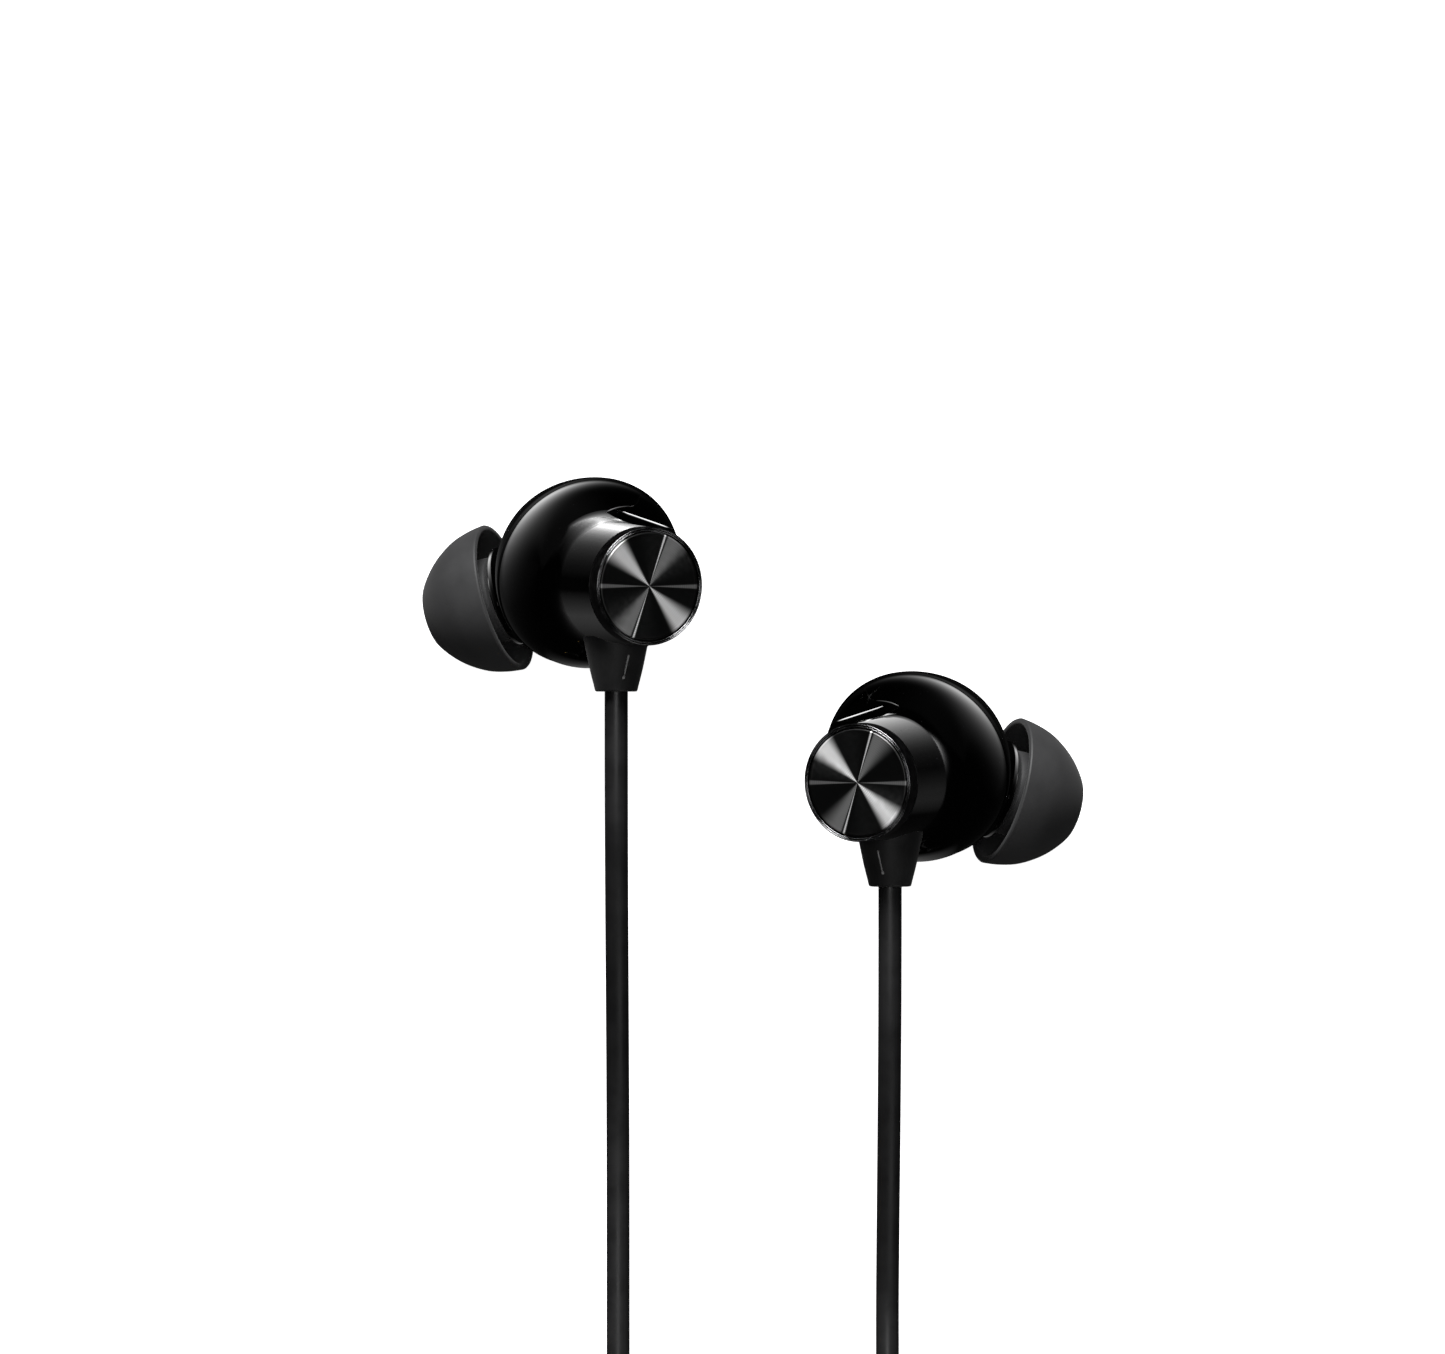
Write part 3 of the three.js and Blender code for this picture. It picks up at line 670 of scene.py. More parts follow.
def curve_points(points, step):
    """A smooth line through points, at about one point for each step."""
    result = []
    last = len(points) - 1
    for index in range(last):
        p1, p2 = points[index], points[index + 1]
        p0 = points[index - 1] if index else p1 * 2 - p2
        p3 = points[index + 2] if index + 1 < last else p2 * 2 - p1
        t0, t1 = 0.0, max((p1 - p0).length, 1e-6) ** 0.5
        t2 = t1 + max((p2 - p1).length, 1e-6) ** 0.5
        t3 = t2 + max((p3 - p2).length, 1e-6) ** 0.5
        pieces = max(1, round((p2 - p1).length / step))
        for piece in range(pieces):
            t = t1 + (t2 - t1) * piece / pieces
            a1, a2 = between(p0, p1, t0, t1, t), between(p1, p2, t1, t2, t)
            a3 = between(p2, p3, t2, t3, t)
            b1, b2 = between(a1, a2, t0, t2, t), between(a2, a3, t1, t3, t)
            result.append(between(b1, b2, t1, t2, t))
    return result + [points[-1]]


def prism(name, outline, low, high):
    """An upright solid over an outline of (x, y) points that runs counter-clockwise."""
    rings = [[Vector((x, y, z)) for x, y in outline] for z in (low, high)]
    return ring_mesh(name, rings, False)


def bead(name, points, wide, thick, face):
    """A flat bead along a line of points, its broad side turned to face, closed at its ends."""
    rings = []
    for index, point in enumerate(points):
        way = points[min(index + 1, len(points) - 1)] - points[max(index - 1, 0)]
        across = face.cross(way).normalized()
        upwards = way.cross(across).normalized()
        narrow = min(1, 0.35 + index / 5, 0.35 + (len(points) - 1 - index) / 5)
        ring = []
        for corner in range(BEAD_SEGMENTS):
            angle = 2 * math.pi * corner / BEAD_SEGMENTS
            ring.append(point + across * (wide * narrow * math.cos(angle))
                        + upwards * (thick * math.sin(angle)))
        rings.append(ring)
    return ring_mesh(name, rings, False, True, True)


def slab_outline(x, y, width, length, corner, steps=10):
    outline = []
    for turn, (sx, sy) in enumerate(((1, 1), (-1, 1), (-1, -1), (1, -1))):
        for step in range(steps + 1):
            angle = math.pi / 2 * (turn + step / steps)
            outline.append((x + sx * (width / 2 - corner) + corner * math.cos(angle),
                            y + sy * (length / 2 - corner) + corner * math.sin(angle)))
    return outline


def pillow(name, x, y, width, length, corner, low, high, low_edge, high_edge, steps=6, crown=0.0):
    """A slab with rounded corners and rounded upper and lower edges; crown lifts its top."""
    rings = []
    for edge, flat, sign in ((low_edge, low, -1), (high_edge, high, 1)):
        order = range(steps + 1) if sign < 0 else range(steps, -1, -1)
        for step in order:
            angle = math.pi / 2 * step / steps
            inset = edge * (1 - math.sin(angle))
            z = flat - sign * edge * (1 - math.cos(angle))
            ring = slab_outline(x, y, width - 2 * inset, length - 2 * inset, max(corner - inset, 0.05))
            rings.append([Vector((px, py, z)) for px, py in ring])
    if crown:
        flat_ring = rings[-1]
        centre = Vector((x, y, high))
        for share in (0.35, 0.6, 0.8):
            lift = crown * (1 - (1 - share) ** 2)
            rings.append([point.lerp(centre, share) + Vector((0, 0, lift)) for point in flat_ring])
    return ring_mesh(name, rings, False)


def combined(mesh, operation, *tools):
    """One mesh joined to, or cut by, others, one after another."""
    for tool in tools:
        objects = [placed("scratch", data) for data in (mesh, tool)]
        change = objects[0].modifiers.new("cut", "BOOLEAN")
        change.operation = operation
        change.solver = "EXACT"
        change.object = objects[1]
        mesh = bpy.data.meshes.new_from_object(
            objects[0].evaluated_get(bpy.context.evaluated_depsgraph_get()))
        for made in objects:
            bpy.data.objects.remove(made)
    return mesh


def smooth(mesh, degrees=32):
    mesh.polygons.foreach_set("use_smooth", [True] * len(mesh.polygons))
    mesh.set_sharp_from_angle(angle=math.radians(degrees))


# ---- finished pieces

SLOTS = {part["node"]: part["material_slot"] for part in frame["record"]["subparts"]}
BODY_OF = {
    node: body for body, nodes in frame["record"]["behaviour"]["bodies"].items() for node in nodes
}


def show(name, mesh, node, matrix=None, replace=True):
    """Puts a mesh in the scene, in metres, riding on the body of the node that it stands for."""
    mesh = mesh.copy()
    matrix = matrix or Matrix.Scale(MM, 4)
    mesh.transform(matrix)
    if matrix.determinant() < 0:
        mesh.flip_normals()
    smooth(mesh)
    slot = SLOTS[node]
    mesh.materials.clear()
    mesh.materials.append(SLOT_MATERIALS[slot])
    piece = placed(name, mesh)
    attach(piece, BODY_OF[node])
    if replace:
        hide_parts(node)
    return piece


def earpiece_matrix(side):
    sign = SIDES[side]
    return (Matrix.Translation(SHELL_CENTRE[side] * MM)
            @ Matrix.Diagonal((sign * MM, MM, MM, 1)))


# ---- earpiece


def quadratic(start, control, end, steps=8):
    start, control, end = Vector(start), Vector(control), Vector(end)
    points = []
    for step in range(1, steps + 1):
        share = step / steps
        points.append(tuple(start.lerp(control, share).lerp(control.lerp(end, share), share)))
    return points


def notch_prism(inset, low, high):
    """The notch beside the barrel, where the bowl's rim curls in and bares the front shell."""
    tip = (1.37 + 2 * inset, 4.87)
    foot = (5.2, 3.72 + inset)
    brow = (3.25, 5.38 - inset)
    curl = (4.05 + inset, 6.15)
    leave = (3.1 + inset, 7.9)
    outline = [tip]
    outline += list(reversed(quadratic(foot, (3.3, 3.7 + inset), tip, 12)[:-1])) + [foot]
    outline += [(12, 3.2 + inset), (12, 11), (3.4 + inset, 11), leave]
    outline += quadratic(leave, (4.75 + inset, 7.1), curl)
    outline += quadratic(curl, (3.95 + inset, 5.45 - inset), brow)
    outline += quadratic(brow, (2.1 + inset, 5.35 - inset), tip)[:-1]
    return prism("notch", outline, low, high)


def bowl_wall(name, outer, inner, end, rim=0.0, part=slice(None)):
    """A wall between two offsets of the bowl, with a rounded rim, or a part of such a wall."""
    outside = bowl_outline(outer, end)[part]
    inside = bowl_outline(inner, end)[part]
    edge = []
    if rim:
        first, last = outside[0], inside[0]
        edge = [(last[0] + rim * 0.3, last[1]), (first[0] - rim, 0)]
        outside[0] = (outside[0][0], outside[0][1] + rim)
    outline = outside + list(reversed(inside)) + edge
    rings = [bowl_ring(radius, height) for radius, height in outline]
    return ring_mesh(name, rings, True)


def back_shell():
    """The back shell in two pieces, which meet on the flat of the bowl: the bowl and the barrel."""
    hole = turned("cord_hole", [(0, 2), (1.2, 2), (1.2, 6.5), (0, 6.5)], CORD_AXIS,
                  along_barrel(RELIEF_HEIGHT), 32)
    bowl = bowl_wall("back_shell_bowl", 0, WALL, BARREL_END, 0.07, slice(0, ARC_STEPS + 1))
    barrel = bowl_wall("back_shell_barrel", 0, WALL, BARREL_END, 0, slice(ARC_STEPS, None))
    pieces = []
    for piece in (bowl, barrel):
        pieces.append(combined(piece, "DIFFERENCE", notch_prism(0, -4, 5.2), hole))
    return pieces


def front_shell():
    def dome(inset):
        outline = []
        for step in range(DOME_STEPS + 1):
            angle = step / DOME_STEPS * math.pi / 2
            height = FRONT_WIDEST - (FRONT_DEPTH + FRONT_WIDEST - inset) * math.cos(angle)
            slim = FRONT_SLIM * math.sin(math.pi * min(-height / 6, 1))
            radius = 0 if step == 0 else (FRONT_RADIUS - inset) * math.sin(angle) - slim
            outline.append((radius, height))
        return outline

    land = [(FRONT_RADIUS - 0.08, -0.22), (FRONT_RADIUS - 0.2, -0.08), (6.6, -0.08),
            (6.35, 0.1), (6.35, 1), (0, 1)]
    outside = turned("front_shell", dome(0) + land, SHELL_AXIS, segments=144)
    hollow = turned("hollow", dome(WALL)[:-1] + [(5.6, -1.5), (5.6, 2), (0, 2)], SHELL_AXIS)
    collar = turned("collar", [(0, 3.5), (3.2, 3.5)] + eased(
        [(3.2, 3.5, 0), (3.2, 7.05, 0.3), (4.1, 7.1, 0.1), (4.1, 7.45, 0.12), (2.3, 7.62, 0.2),
         (2.3, 10.9, 0.15), (2.5, 11.1, 0.15), (2.5, 11.45, 0.15), (2.3, 11.86, 0.1), (1.4, 11.86, 0)],
        closed=False)[1:] + [(0, 11.86)], NOZZLE_AXIS, segments=72)
    bore = turned("bore", [(0, 3), (1.75, 3), (1.75, 13), (0, 13)], NOZZLE_AXIS, segments=48)
    body = combined(outside, "UNION", collar)
    return combined(body, "DIFFERENCE", hollow, bore)


ABOVE_ALL = 20                 # a height over every piece, from which laid_on looks down


def laid_on(mesh, line):
    """The places where a flat line, seen from above, lies on the top of a mesh."""
    surface = bmesh.new()
    surface.from_mesh(mesh)
    tree = BVHTree.FromBMesh(surface)
    hits = [tree.ray_cast(Vector((spot.x, spot.y, ABOVE_ALL)), Vector((0, 0, -1)))[0] for spot in line]
    surface.free()
    return [hit for hit in hits if hit]


def bare_flank():
    """The front shell's wall inside the notch, its bright crest, and the recess behind it."""
    wall = bowl_wall("flank", 0.1, 1.0, BARREL_FOOT + 1)
    wall = combined(wall, "INTERSECT", notch_prism(0.02, -5, 5))
    start, end = Vector((2.73, 4.92)), Vector((6.9, 3.53))
    lean = math.atan2(end.y - start.y, end.x - start.x)
    block = prism("crest_line", [(-3, -8), (12, -8), (12, 0), (-3, 0)], -5, 9)
    block.transform(Matrix.Translation((*start, 0)) @ Matrix.Rotation(lean, 4, "Z"))
    line = [start.lerp(end, step / 40) for step in range(41)]
    crest = bead("crest", laid_on(wall, line), 0.17, 0.04, Vector((0.52, 0.66, 0.54)))
    brow = [Vector(spot) for spot in quadratic((1.42, 4.9), (2.1, 5.38), (3.25, 5.4), 24)]
    bowl = bowl_wall("bowl", 0, WALL, BARREL_FOOT + 1)
    lip = bead("lip", laid_on(bowl, brow), 0.11, 0.03, Vector((-0.1, 0.84, 0.54)))
    wall = combined(wall, "DIFFERENCE", block)
    recess = bowl_wall("recess", 1.05, 1.5, BARREL_FOOT + 1)
    recess = combined(recess, "INTERSECT", notch_prism(-0.6, -5, 5))
    return {"flank": wall, "flank_crest": crest, "notch_lip": lip, "flank_recess": recess}


def ear_tip():
    skirt = [Vector((r, h, 0)) for r, h in (
        (6.17, 0.12), (6.12, 0.6), (6.0, 1.35), (5.63, 2.65), (5.02, 3.8), (4.28, 4.8), (3.3, 5.75),
        (2.6, 6.25), (2.2, 6.4))]
    under = [Vector((r, h, 0)) for r, h in (
        (3.55, 1.2), (3.5, 2.6), (3.75, 3.5), (4.2, 3.6), (4.75, 3.0), (5.2, 2.1), (5.5, 1.0),
        (5.62, 0.12))]
    outline = [(p.x, p.y) for p in curve_points(skirt, 0.2)]
    outline += eased([(2.2, 6.4, 0), (1.98, 6.38, 0.15), (1.9, 6.1, 0.1), (1.9, 4.9, 0.15),
                      (2.62, 4.75, 0.15), (2.62, 0.3, 0.12), (3.5, 0.3, 0.2), (3.55, 1.2, 0)],
                     closed=False)[1:-1]
    outline += [(p.x, p.y) for p in curve_points(under, 0.2)]
    outline += [(5.68, 0.02), (5.78, -0.04), (5.95, -0.05), (6.1, 0.0)]
    return turned("ear_tip", outline, NOZZLE_AXIS, NOZZLE_AXIS * SKIRT_DISTANCE, 144)


def strain_relief():
    grip = [(0, 2.6), (CORD_RADIUS + 0.2, 2.6), (CORD_RADIUS + 0.2, 4.3)] + eased(
        [(2.72, 4.3, 0), (2.56, 5.1, 0.3), (2.15, 7.1, 0.8), (1.8, 8.45, 0.6), (1.72, 8.83, 0.28),
         (1.02, 8.83, 0.04), (1.02, 8.6, 0.02)], steps=6, closed=False) + [(0, 8.6)]
    solid = turned("strain_relief", grip, CORD_AXIS, along_barrel(RELIEF_HEIGHT), 96)
    clearance = [bowl_ring(RIM_RADIUS + 0.05, -2)]
    clearance += [bowl_ring(r, h) for r, h in bowl_outline(-0.03, BARREL_END)]
    solid = combined(solid, "DIFFERENCE", ring_mesh("clearance", clearance, False))
    stub = turned("stub", [(0, 2.4), (CORD_RADIUS, 2.4), (CORD_RADIUS, 6.6), (0, 6.6)], CORD_AXIS,
                  along_barrel(RELIEF_HEIGHT), 48)
    return combined(solid, "UNION", stub)


def relief_mark():
    """A small rib on the relief, near the disc's side, with a round lower end; its pale colour is a painted
    highlight.
    """
    start, end = Vector((3.24, -6.8, 6.03)), Vector((2.86, -8.45, 5.72))
    way = end - start
    long = way.length
    outline = eased([(0.05, -0.04, 0), (0.075, 0.1, 0), (0.075, long, 0), (0.13, long + 0.04, 0.05),
                     (0.13, long + 0.26, 0.08)], closed=False)
    return turned("mark", [(0, -0.06)] + outline + [(0, long + 0.3)], way, start, 16)


def bezel_ring():
    outline = eased([
        (3.5, 9.0), (4.7, 8.98), (4.81, 9.05), (4.81, 10.28), (4.76, 10.38), (4.68, 10.38, 0.03),
        (4.65, 10.27, 0.02), (4.6, 10.27, 0.02), (4.57, 10.36, 0.03), (4.5, 10.34, 0.04),
        (4.47, 9.45), (3.5, 9.45)], 0.06)
    return turned("bezel_ring", outline, BARREL_AXIS, along_barrel(0), 160)


def groove_profile():
    """The disc's face: shallow concentric grooves inside a plain bevelled edge."""
    pitch, depth, inner, outer = 0.1, 0.006, 0.12, 4.12
    count = round((outer - inner) / pitch)
    outline = [(outer - index * pitch / 2, BARREL_LENGTH - (depth if index % 2 else 0))
               for index in range(2 * count + 1)]
    return [(4.4, 9.6), (4.4, 10.2), (4.36, 10.27), (4.28, 10.31), (4.2, BARREL_LENGTH)] + outline


def end_disc(side):
    """The disc keeps its own turned frame, so that its grooves run round its axis."""
    outline = [(0, 9.6)] + groove_profile() + [(0, BARREL_LENGTH)]
    mesh = turned("end_disc", outline, segments=128)
    axis = Vector(MOUNTS[f"{side}_magnetic_face"]["axis"])
    mesh.transform(Matrix.Translation((0, 0, -BARREL_LENGTH)))
    mesh.transform(Matrix.Scale(MM, 4))
    smooth(mesh, 40)
    mesh.materials.append(SLOT_MATERIALS["disc_metal"])
    piece = placed(f"{side}_disc_face", mesh)
    piece.matrix_world = Matrix.Translation(DISC_CENTRE[side] * MM) @ basis(axis).to_4x4()
    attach(piece, BODY_OF[f"{side}_end_disc"])
    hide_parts(f"{side}_end_disc")


def nozzle_screen():
    """A woven screen: two layers of fine round wires inside a rim."""
    screen = bmesh.new()
    screen.from_mesh(turned("nozzle_screen", [(1.45, 11.1), (1.7, 11.1), (1.7, 11.5), (1.45, 11.5)],
                            NOZZLE_AXIS, segments=48))
    right, forward, upwards = basis(NOZZLE_AXIS).col
    reach, pitch, wire = 1.55, 0.22, 0.045
    count = int(reach / pitch)
    for height, beside, way in ((11.26, right, forward), (11.34, forward, right)):
        for index in range(-count, count + 1):
            offset = index * pitch
            half = math.sqrt(reach ** 2 - offset ** 2)
            middle = upwards * height + beside * offset
            rings = [[middle + way * end + beside * (wire * math.cos(corner * math.pi / 3))
                      + upwards * (wire * math.sin(corner * math.pi / 3)) for corner in range(6)]
                     for end in (-half, half)]
            screen.from_mesh(ring_mesh("wire", rings, False))
    return closed_mesh("nozzle_screen", screen)


def make_earpieces():
    """Makes both earpieces, and gives back the glossy pieces of each part of each side."""
    flank = bare_flank()
    bowl, barrel = back_shell()
    pieces = {
        "back_shell_body": (bowl, "back_shell"),
        "front_shell_body": (front_shell(), "front_shell"),
        "bezel_body": (bezel_ring(), "bezel_ring"),
        "tip_body": (ear_tip(), "ear_tip"),
        "relief_body": (strain_relief(), "strain_relief"),
        "screen_mesh": (nozzle_screen(), "nozzle_screen"),
    }
    mark = relief_mark()
    glossy = {}
    for side in SIDES:
        place = earpiece_matrix(side)
        plain = [
            show(f"{side}_{name}", mesh, f"{side}_{node}", place)
            for name, (mesh, node) in pieces.items()
        ]
        barrel_piece = show(f"{side}_barrel_body", barrel, f"{side}_back_shell", place, replace=False)
        glossy[side, "bowl"] = plain[:2]          # the bowl and the front shell
        glossy[side, "barrel"] = [barrel_piece]
        for name, mesh in flank.items():
            extra = show(f"{side}_{name}", mesh, f"{side}_front_shell", place, replace=False)
            glossy[side, "barrel" if name == "flank_crest" else "bowl"].append(extra)
        for piece in plain + glossy[side, "bowl"] + glossy[side, "barrel"]:
            piece.visible_glossy = False
        rib = show(f"{side}_relief_mark", mark, f"{side}_strain_relief", place, replace=False)
        # The rib takes the pale material: a painted highlight.
        rib.data.materials[0] = MARK_PAINTED_HIGHLIGHT
        end_disc(side)
    return glossy


# ---- cords


def p(x, y, z):
    return Vector((x, y, z))


def arc(x, y, radius, start, end, low_z, high_z, steps=10):
    """Points on an arc about (x, y), from one angle to another in degrees, rising evenly."""
    points = []
    for step in range(steps + 1):
        share = step / steps
        angle = math.radians(start + (end - start) * share)
        points.append(p(x + radius * math.cos(angle), y + radius * math.sin(angle),
                        low_z + (high_z - low_z) * share))
    return points


def eased_step(value, start, end):
    share = min(max((value - start) / (end - start), 0), 1)
    return share * share * (3 - 2 * share)


def on_coil(radius, degrees, z):
    """A point on the coil, by the angle turned clockwise from east."""
    angle = -math.radians(degrees)
    return p(COIL_X + radius * math.cos(angle), COIL_Y + radius * math.sin(angle), z)


RELIEF_END = {
    side: SHELL_CENTRE[side]
    + Vector((SIDES[side] * along_barrel(RELIEF_HEIGHT).x, along_barrel(RELIEF_HEIGHT).y - RELIEF_LENGTH,
              along_barrel(RELIEF_HEIGHT).z))
    for side in SIDES
}
DESCENT = [(-0.6, None), (0, None), (6, 11.9), (12, 11.0), (20, 8.2), (28, 4.7), (35, 2.25), (42, 1.2),
           (48, 0.98)]
PAIR_TURN_IN = 495             # degrees after east at which the pair turns back outwards
PAIR_END = 990


def descent(side, count):
    end = RELIEF_END[side]
    return [p(end.x, end.y - run, end.z if z is None else z) for run, z in DESCENT[:count]]


def winding_point(degrees, turn_in, blend, pitches, start_radius, layer, east=0):
    """A point of a coil that winds inwards up to turn_in degrees and outwards again one layer up."""
    inward, outward = min(degrees, turn_in), max(degrees - turn_in, 0)
    radius = start_radius - pitches * TURN_PITCH * (inward - outward) / 360
    rise = eased_step(degrees, turn_in - blend, turn_in + blend)
    low, high = LAYER_Z[layer], LAYER_Z[layer + 1]
    return on_coil(radius, east + degrees, low + (high - low) * rise)


def pair_turns(lane, start):
    """One lane of the two branches, wound in over the main cord's layers and out again above."""
    steps = int((PAIR_END - start) // 7.5)
    angles = [start + (PAIR_END - start) * step / steps for step in range(steps + 1)]
    return [winding_point(degrees, PAIR_TURN_IN, 28, 2, COIL_RADIUS - lane * TURN_PITCH, 2)
            for degrees in angles]


def left_route():
    x = RELIEF_END["left"].x
    points = descent("left", 9)
    points += [p(x, -58, 1.0), p(x, -66, 1.3), p(x, -73, 3.2)]
    points += arc(COIL_X - 0.12, -78.8, 6.2, 180, 255, 5.1, 5.76, 6)
    points += pair_turns(1, -90)
    points += [p(7.1, -85.95, 7.65), p(10, -85.95, 7.5)]
    points += arc(13, -92, 6.05, 90, 0, 7.1, 2.2, 8)
    points += [p(19.05, -93.7, 1.8), p(19.05, -95.5, 1.8)]
    return points


def right_route():
    x = RELIEF_END["right"].x
    points = descent("right", 7)
    points += [p(x, -58.2, 2.4), p(x, -61, 2.4), p(x, -70, 2.4), p(x, -80, 2.4), p(x, -82.8, 2.4)]
    points += [p(x, -85.5, 2.7), p(x, -88.5, 4.0), p(x, -91.6, 5.55), p(x, -95.5, 5.76)]
    points += pair_turns(0, 0)
    points += [p(4.2, -84, 7.7), p(9, -84, 7.6)]
    points += arc(13, -92, 8, 90, 0, 7.2, 2.2, 8)
    points += [p(21, -93.7, 1.8), p(21, -95.5, 1.8)]
    return points


def main_route():
    points = [p(SPLIT_X, -102.8, 1.8), p(SPLIT_X, -104.5, 1.8)]
    points += arc(-0.37, -105.8, 20.4, 0, -177, 1.4, LAYER_Z[0], 24)
    turns = 5
    last = 2 * turns * 360 - 15
    steps = round(last / 10)
    points += [winding_point(last * step / steps, turns * 360, 40, 1, COIL_RADIUS, 0, 180)
               for step in range(steps + 1)]
    points += [p(-21.4, -100, 3.7), p(-22.65, -95.2, 3.1), p(-22.9, -93.3, 2.85),
               p(PLUG_X, PLUG_START - 0.3, PLUG_Z), p(PLUG_X, PLUG_START + 2, PLUG_Z)]
    return points


def cord(name, route, nodes):
    points = curve_points(route, 0.6)
    data = bpy.data.curves.new(name, "CURVE")
    data.dimensions = "3D"
    data.bevel_depth = CORD_RADIUS * MM
    data.bevel_resolution = 6
    data.use_fill_caps = True
    spline = data.splines.new("POLY")
    spline.points.add(len(points) - 1)
    for target, point in zip(spline.points, points):
        target.co = (*(point * MM), 1)
    spline.use_smooth = True
    data.materials.append(SLOT_MATERIALS["cord_skin"])
    piece = placed(name, data)
    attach(piece, "earphones")
    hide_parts(*nodes)
    return piece


def make_cords(remote, split, plug, tie):
    left = cord("left_branch", left_route(), ["left_cord", "left_cord_end"])
    right = cord("right_branch", right_route(),
                 ["right_cord_upper", "right_cord_lower", "right_cord_end"])
    main = cord("main_cord", main_route(), ["main_cord_start", "main_cord_end", "cord_coil"])


# ---- what is on the cord

REMOTE_X = RELIEF_END["right"].x
BUTTON_PITCH = 4.7
BUTTONS = ["volume_up_button", "play_button", "volume_down_button"]


def remote_pieces():
    y = REMOTE_MIDDLE
    back = pillow("remote_back", REMOTE_X, y, 7, 18, 2.2, 0, 2.36, 0.9, 0.06)
    front = pillow("remote_front", REMOTE_X, y, 7, 18, 2.2, 2.44, 4.8, 0.06, 0.8)
    inside = prism("inside", slab_outline(REMOTE_X, y, 5.4, 16.4, 1.4), 0.7, 4.1)
    back = combined(back, "DIFFERENCE", inside)
    centres = [y + (1 - index) * BUTTON_PITCH for index in range(len(BUTTONS))]
    holes = [prism("hole", slab_outline(REMOTE_X, centre, 4.0, 3.8, 1.1), 3.5, 6) for centre in centres]
    pinhole = prism("pinhole", slab_outline(REMOTE_X, y - 7.3, 0.6, 0.6, 0.29, 6), 3, 6)
    front = combined(front, "DIFFERENCE", inside, *holes, pinhole)
    pieces = [
        show("remote_back_shell", back, "remote_back_cover"),
        show("remote_front_shell", front, "remote_front_cover"),
    ]
    for index, (node, centre) in enumerate(zip(BUTTONS, centres)):
        cap = pillow(node, REMOTE_X, centre, 3.7, 3.5, 0.95, 2.6, 5.02, 0.05, 0.3, crown=0.1)
        cap = combined(cap, "UNION", *button_marks(index, centre))
        pieces.append(show(f"{node}_cap", cap, node))
    for end, node in ((1, "remote_upper_boot"), (-1, "remote_lower_boot")):
        outline = [(0, -0.2), (2.1, -0.2)] + eased(
            [(2.1, -0.2, 0), (2.08, 0.5, 0.3), (1.75, 1.5, 0.6), (1.4, 2.55, 0.3), (1.15, 2.7, 0.15),
             (1.0, 2.7, 0)], closed=False)[1:] + [(0, 2.7)]
        boot = turned(node, outline, p(0, end, 0), p(REMOTE_X, y + end * 9.3, 2.4), 64)
        pieces.append(show(f"{node}_sleeve", boot, node))
    return pieces


def button_marks(index, centre):
    """A plus, a plain ring and a minus, standing a little proud of the buttons."""
    bar = slab_outline(REMOTE_X, centre, 1.3, 0.26, 0.12, 4)
    if index == 0:
        upright = slab_outline(REMOTE_X, centre, 0.26, 1.3, 0.12, 4)
        return [prism("mark", bar, 4.6, 5.16), prism("mark", upright, 4.6, 5.16)]
    if index == 1:
        return [turned("mark", [(0.42, 4.7), (0.62, 4.7), (0.62, 5.16), (0.42, 5.16)],
                       origin=p(REMOTE_X, centre, 0), segments=32)]
    return [prism("mark", bar, 4.6, 5.16)]


def splitter_pieces():
    y = SPLIT_TOP - SPLIT_LENGTH / 2
    lower = pillow("split_lower", SPLIT_X, y, 6, SPLIT_LENGTH, 1.8, 0, 1.77, 0.7, 0.05)
    upper = pillow("split_upper", SPLIT_X, y, 6, SPLIT_LENGTH, 1.8, 1.83, 3.6, 0.05, 0.7)
    groove = prism("groove", slab_outline(SPLIT_X, y, 3.2, 0.5, 0.24, 5), 3.35, 4)
    for shift in (-1.2, 0, 1.2):
        shifted = groove.copy()
        shifted.transform(Matrix.Translation((0, shift, 0)))
        upper = combined(upper, "DIFFERENCE", shifted)
    return [
        show("splitter_base", lower, "splitter_lower_half"),
        show("splitter_cover", upper, "splitter_upper_half"),
    ]


def tie_pieces():
    """A strap of hook-and-loop tape once round the coil, with its end lapped on top."""
    middle_y = COIL_Y - 10.75
    half_reach, half_rise, corner, thick, width = 7.05, 4.3, 1.3, 0.55, 5
    centre_z = 4.85
    loop = slab_outline(0, 0, 2 * half_reach, 2 * half_rise, corner, 8)
    rings = []
    for across, rise in loop:
        flat = half_reach - corner, half_rise - corner
        inner = Vector((max(-flat[0], min(across, flat[0])), max(-flat[1], min(rise, flat[1]))))
        outward = Vector((across, rise)) - inner
        outward = outward.normalized() if outward.length > 1e-6 else Vector((0, 1))
        section = eased([(0, -width / 2), (thick, -width / 2), (thick, width / 2), (0, width / 2)], 0.15, 2)
        rings.append([p(COIL_X + side, middle_y + across + outward.x * out,
                        centre_z + rise + outward.y * out) for out, side in section])
    shape = bmesh.new()
    shape.from_mesh(ring_mesh("tie", rings, True))
    strap = closed_mesh("tie", shape)
    tab = pillow("tab", COIL_X, middle_y - 1.5, width - 0.3, 7, 1.2, 9.68, 10.1, 0.12, 0.15)
    return [
        show("tie_strap", strap, "cord_tie"),
        show("tie_tab", tab, "cord_tie", replace=False),
    ]


def on_plug(name, outline):
    return turned(name, outline, p(0, 1, 0), p(PLUG_X, PLUG_START, PLUG_Z), 72)


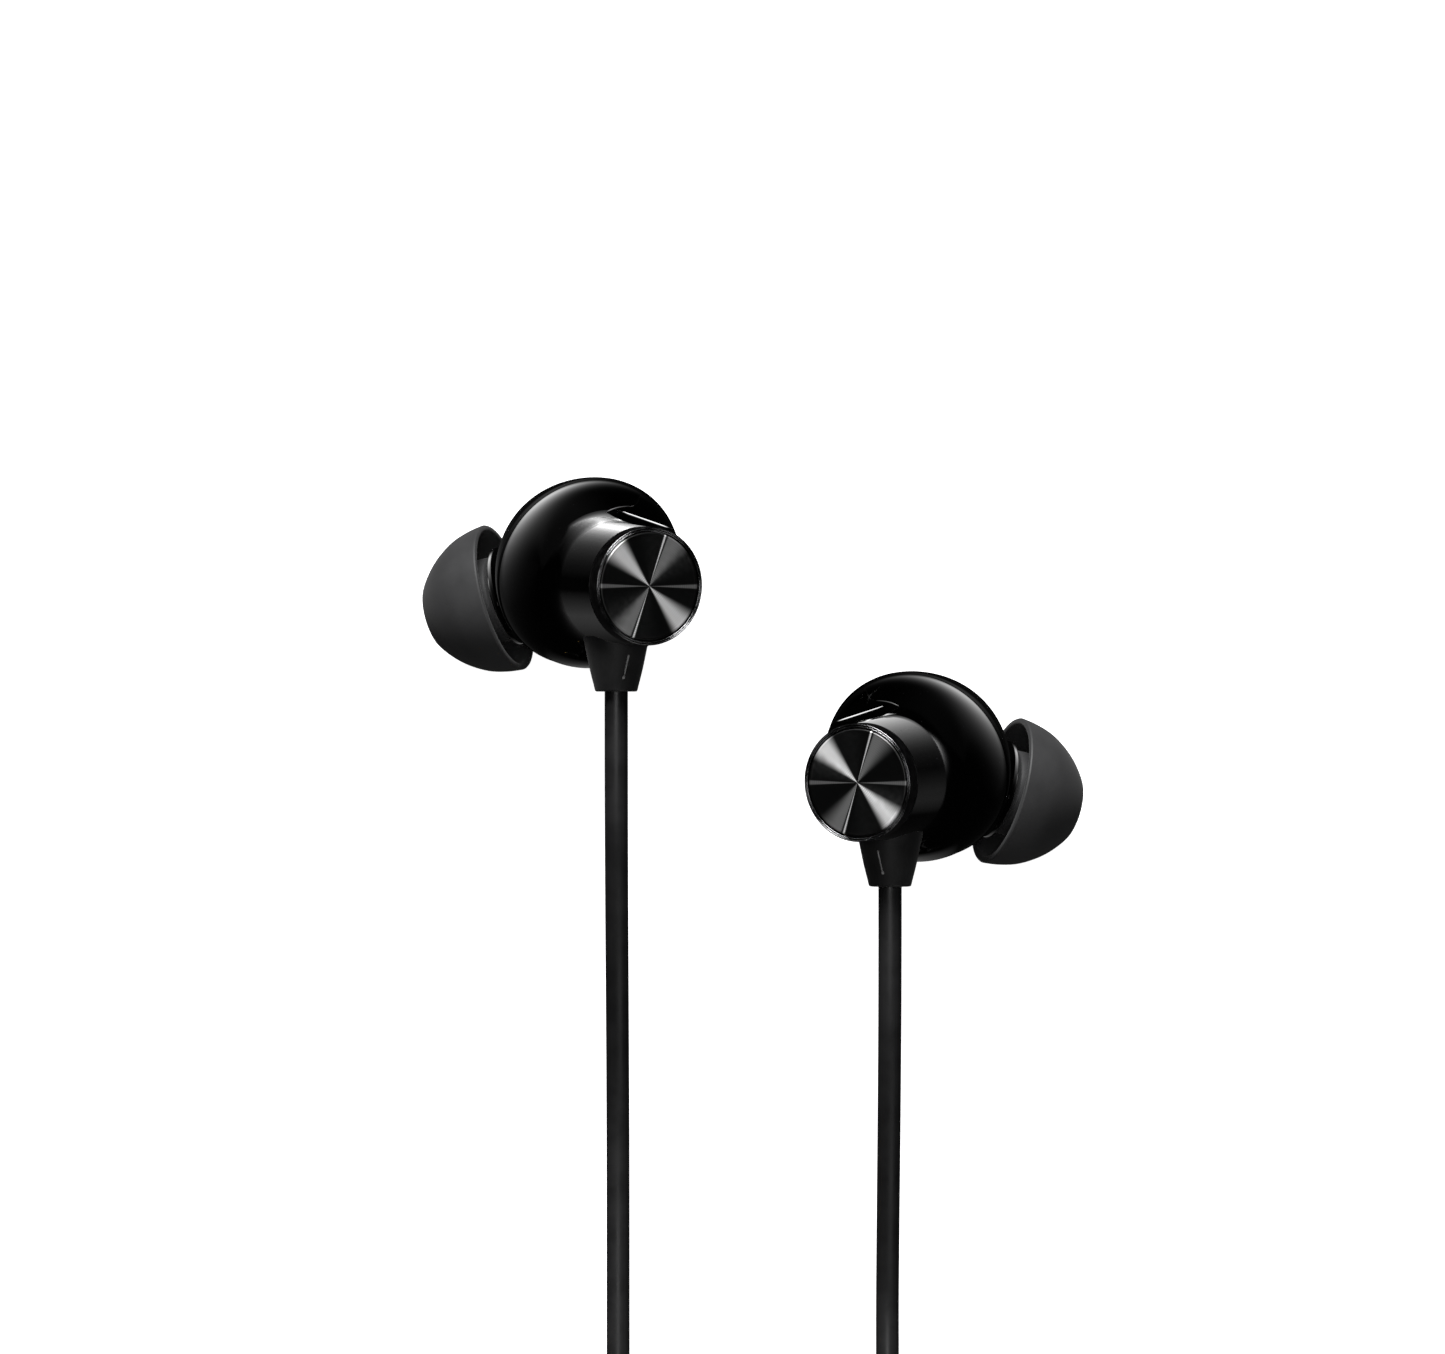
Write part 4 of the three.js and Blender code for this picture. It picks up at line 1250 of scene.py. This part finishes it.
def plug_pieces():
    face, seat, spacer_pitch = 18.3, 17.7, 2.7
    first = face + 4.8
    boot = [(0, 0.1), (1.02, 0.1)] + eased([(1.02, 0.1, 0), (1.02, 0, 0.02), (1.4, 0, 0.15)] + [
        entry for rib in range(4) for entry in (
            (1.45 + 0.13 * rib, 0.75 + 1.2 * rib, 0.12), (1.2 + 0.13 * rib, 0.85 + 1.2 * rib, 0.1),
            (1.25 + 0.13 * rib, 1.25 + 1.2 * rib, 0.1), (1.55 + 0.13 * rib, 1.35 + 1.2 * rib, 0.12))
    ] + [(2.2, 5.9, 0.3), (2.3, 6.94, 0.05)], closed=False)[1:] + [(0, 6.94)]
    barrel = [(0, 6.98)] + eased([(2.4, 6.98, 0), (2.72, 7.3, 0.25), (2.72, 9.2, 0.05), (2.6, 9.3, 0.05),
                                  (2.6, 9.6, 0.05), (2.72, 9.7, 0.05), (2.72, 17.1, 0.3), (2.6, 17.5, 0.2),
                                  (2.6, face, 0.08), (2.0, face, 0.05), (2.0, seat, 0)],
                                 closed=False) + [(0, seat)]
    pieces = [show("plug_boot_sleeve", on_plug("boot", boot), "plug_boot"),
              show("plug_grip", on_plug("barrel", barrel), "plug_barrel")]

    for node, start, length in (("plug_sleeve", seat + 0.02, 5.36), ("plug_ring_2", first + 0.42, 2.26),
                                ("plug_ring_1", first + spacer_pitch + 0.42, 2.26)):
        end = start + length
        outline = eased([(1.05, start), (1.75, start), (1.75, end), (1.05, end)], 0.05)
        pieces.append(show(f"{node}_contact", on_plug(node, outline), node))
    core = [(0, seat + 0.1), (1.0, seat + 0.1)]
    for spacer in range(3):
        start = first + spacer * spacer_pitch
        core += [(1.0, start), (1.72, start + 0.01), (1.72, start + 0.39), (1.0, start + 0.4)]
    core += [(0, first + 2 * spacer_pitch + 0.4)]
    pieces.append(show("plug_core", on_plug("core", core), "plug_insulator"))
    foot = first + 2 * spacer_pitch + 0.42
    tip = [(0, foot)] + eased([(1.75, foot, 0.05), (1.75, foot + 0.25, 0.2), (1.22, foot + 0.95, 0.35),
                               (1.75, foot + 1.75, 0.4), (1.35, foot + 2.6, 0.3), (0.5, foot + 3.48, 0.3)],
                              steps=6) + [(0, foot + 3.48)]
    pieces.append(show("plug_point", on_plug("tip", tip), "plug_tip"))
    return pieces


# ---- the whole scene


def finish_cad_nodes():
    """The inner CAD nodes stay as they are and take their slot's material."""
    for name, node in frame["nodes"].items():
        if not node.hide_render:
            node.data.materials.clear()
            node.data.materials.append(SLOT_MATERIALS[SLOTS[name]])


make_camera()
make_world()
make_floor()
glossy_pieces = make_earpieces()
put_away = [remote_pieces(), splitter_pieces(), plug_pieces(), tie_pieces()]
make_cords(*put_away)
finish_cad_nodes()

shells = [piece for pieces in glossy_pieces.values() for piece in pieces]
not_shells = pieces_named("not_the_shells", shells, leave_out=True)
softbox("key_softbox", (-0.12, 0.78, 0.5), (0.6, 0.4), 17, not_shells)
softbox("top_softbox", (0.0, 0.05, 1.1), (0.4, 0.4), 2.0, not_shells)
softbox("fill_softbox", (0.3, -0.85, 0.35), (0.6, 0.4), 0.9, not_shells)
others = [piece for pieces in put_away[:3] for piece in pieces]
for (side, part), pieces in glossy_pieces.items():
    lit = pieces + others if (side, part) == ("right", "bowl") else pieces
    make_light_tent(side, part, pieces_named(f"{side}_{part}_lit", lit))
bpy.context.scene.view_settings.view_transform = "Standard"
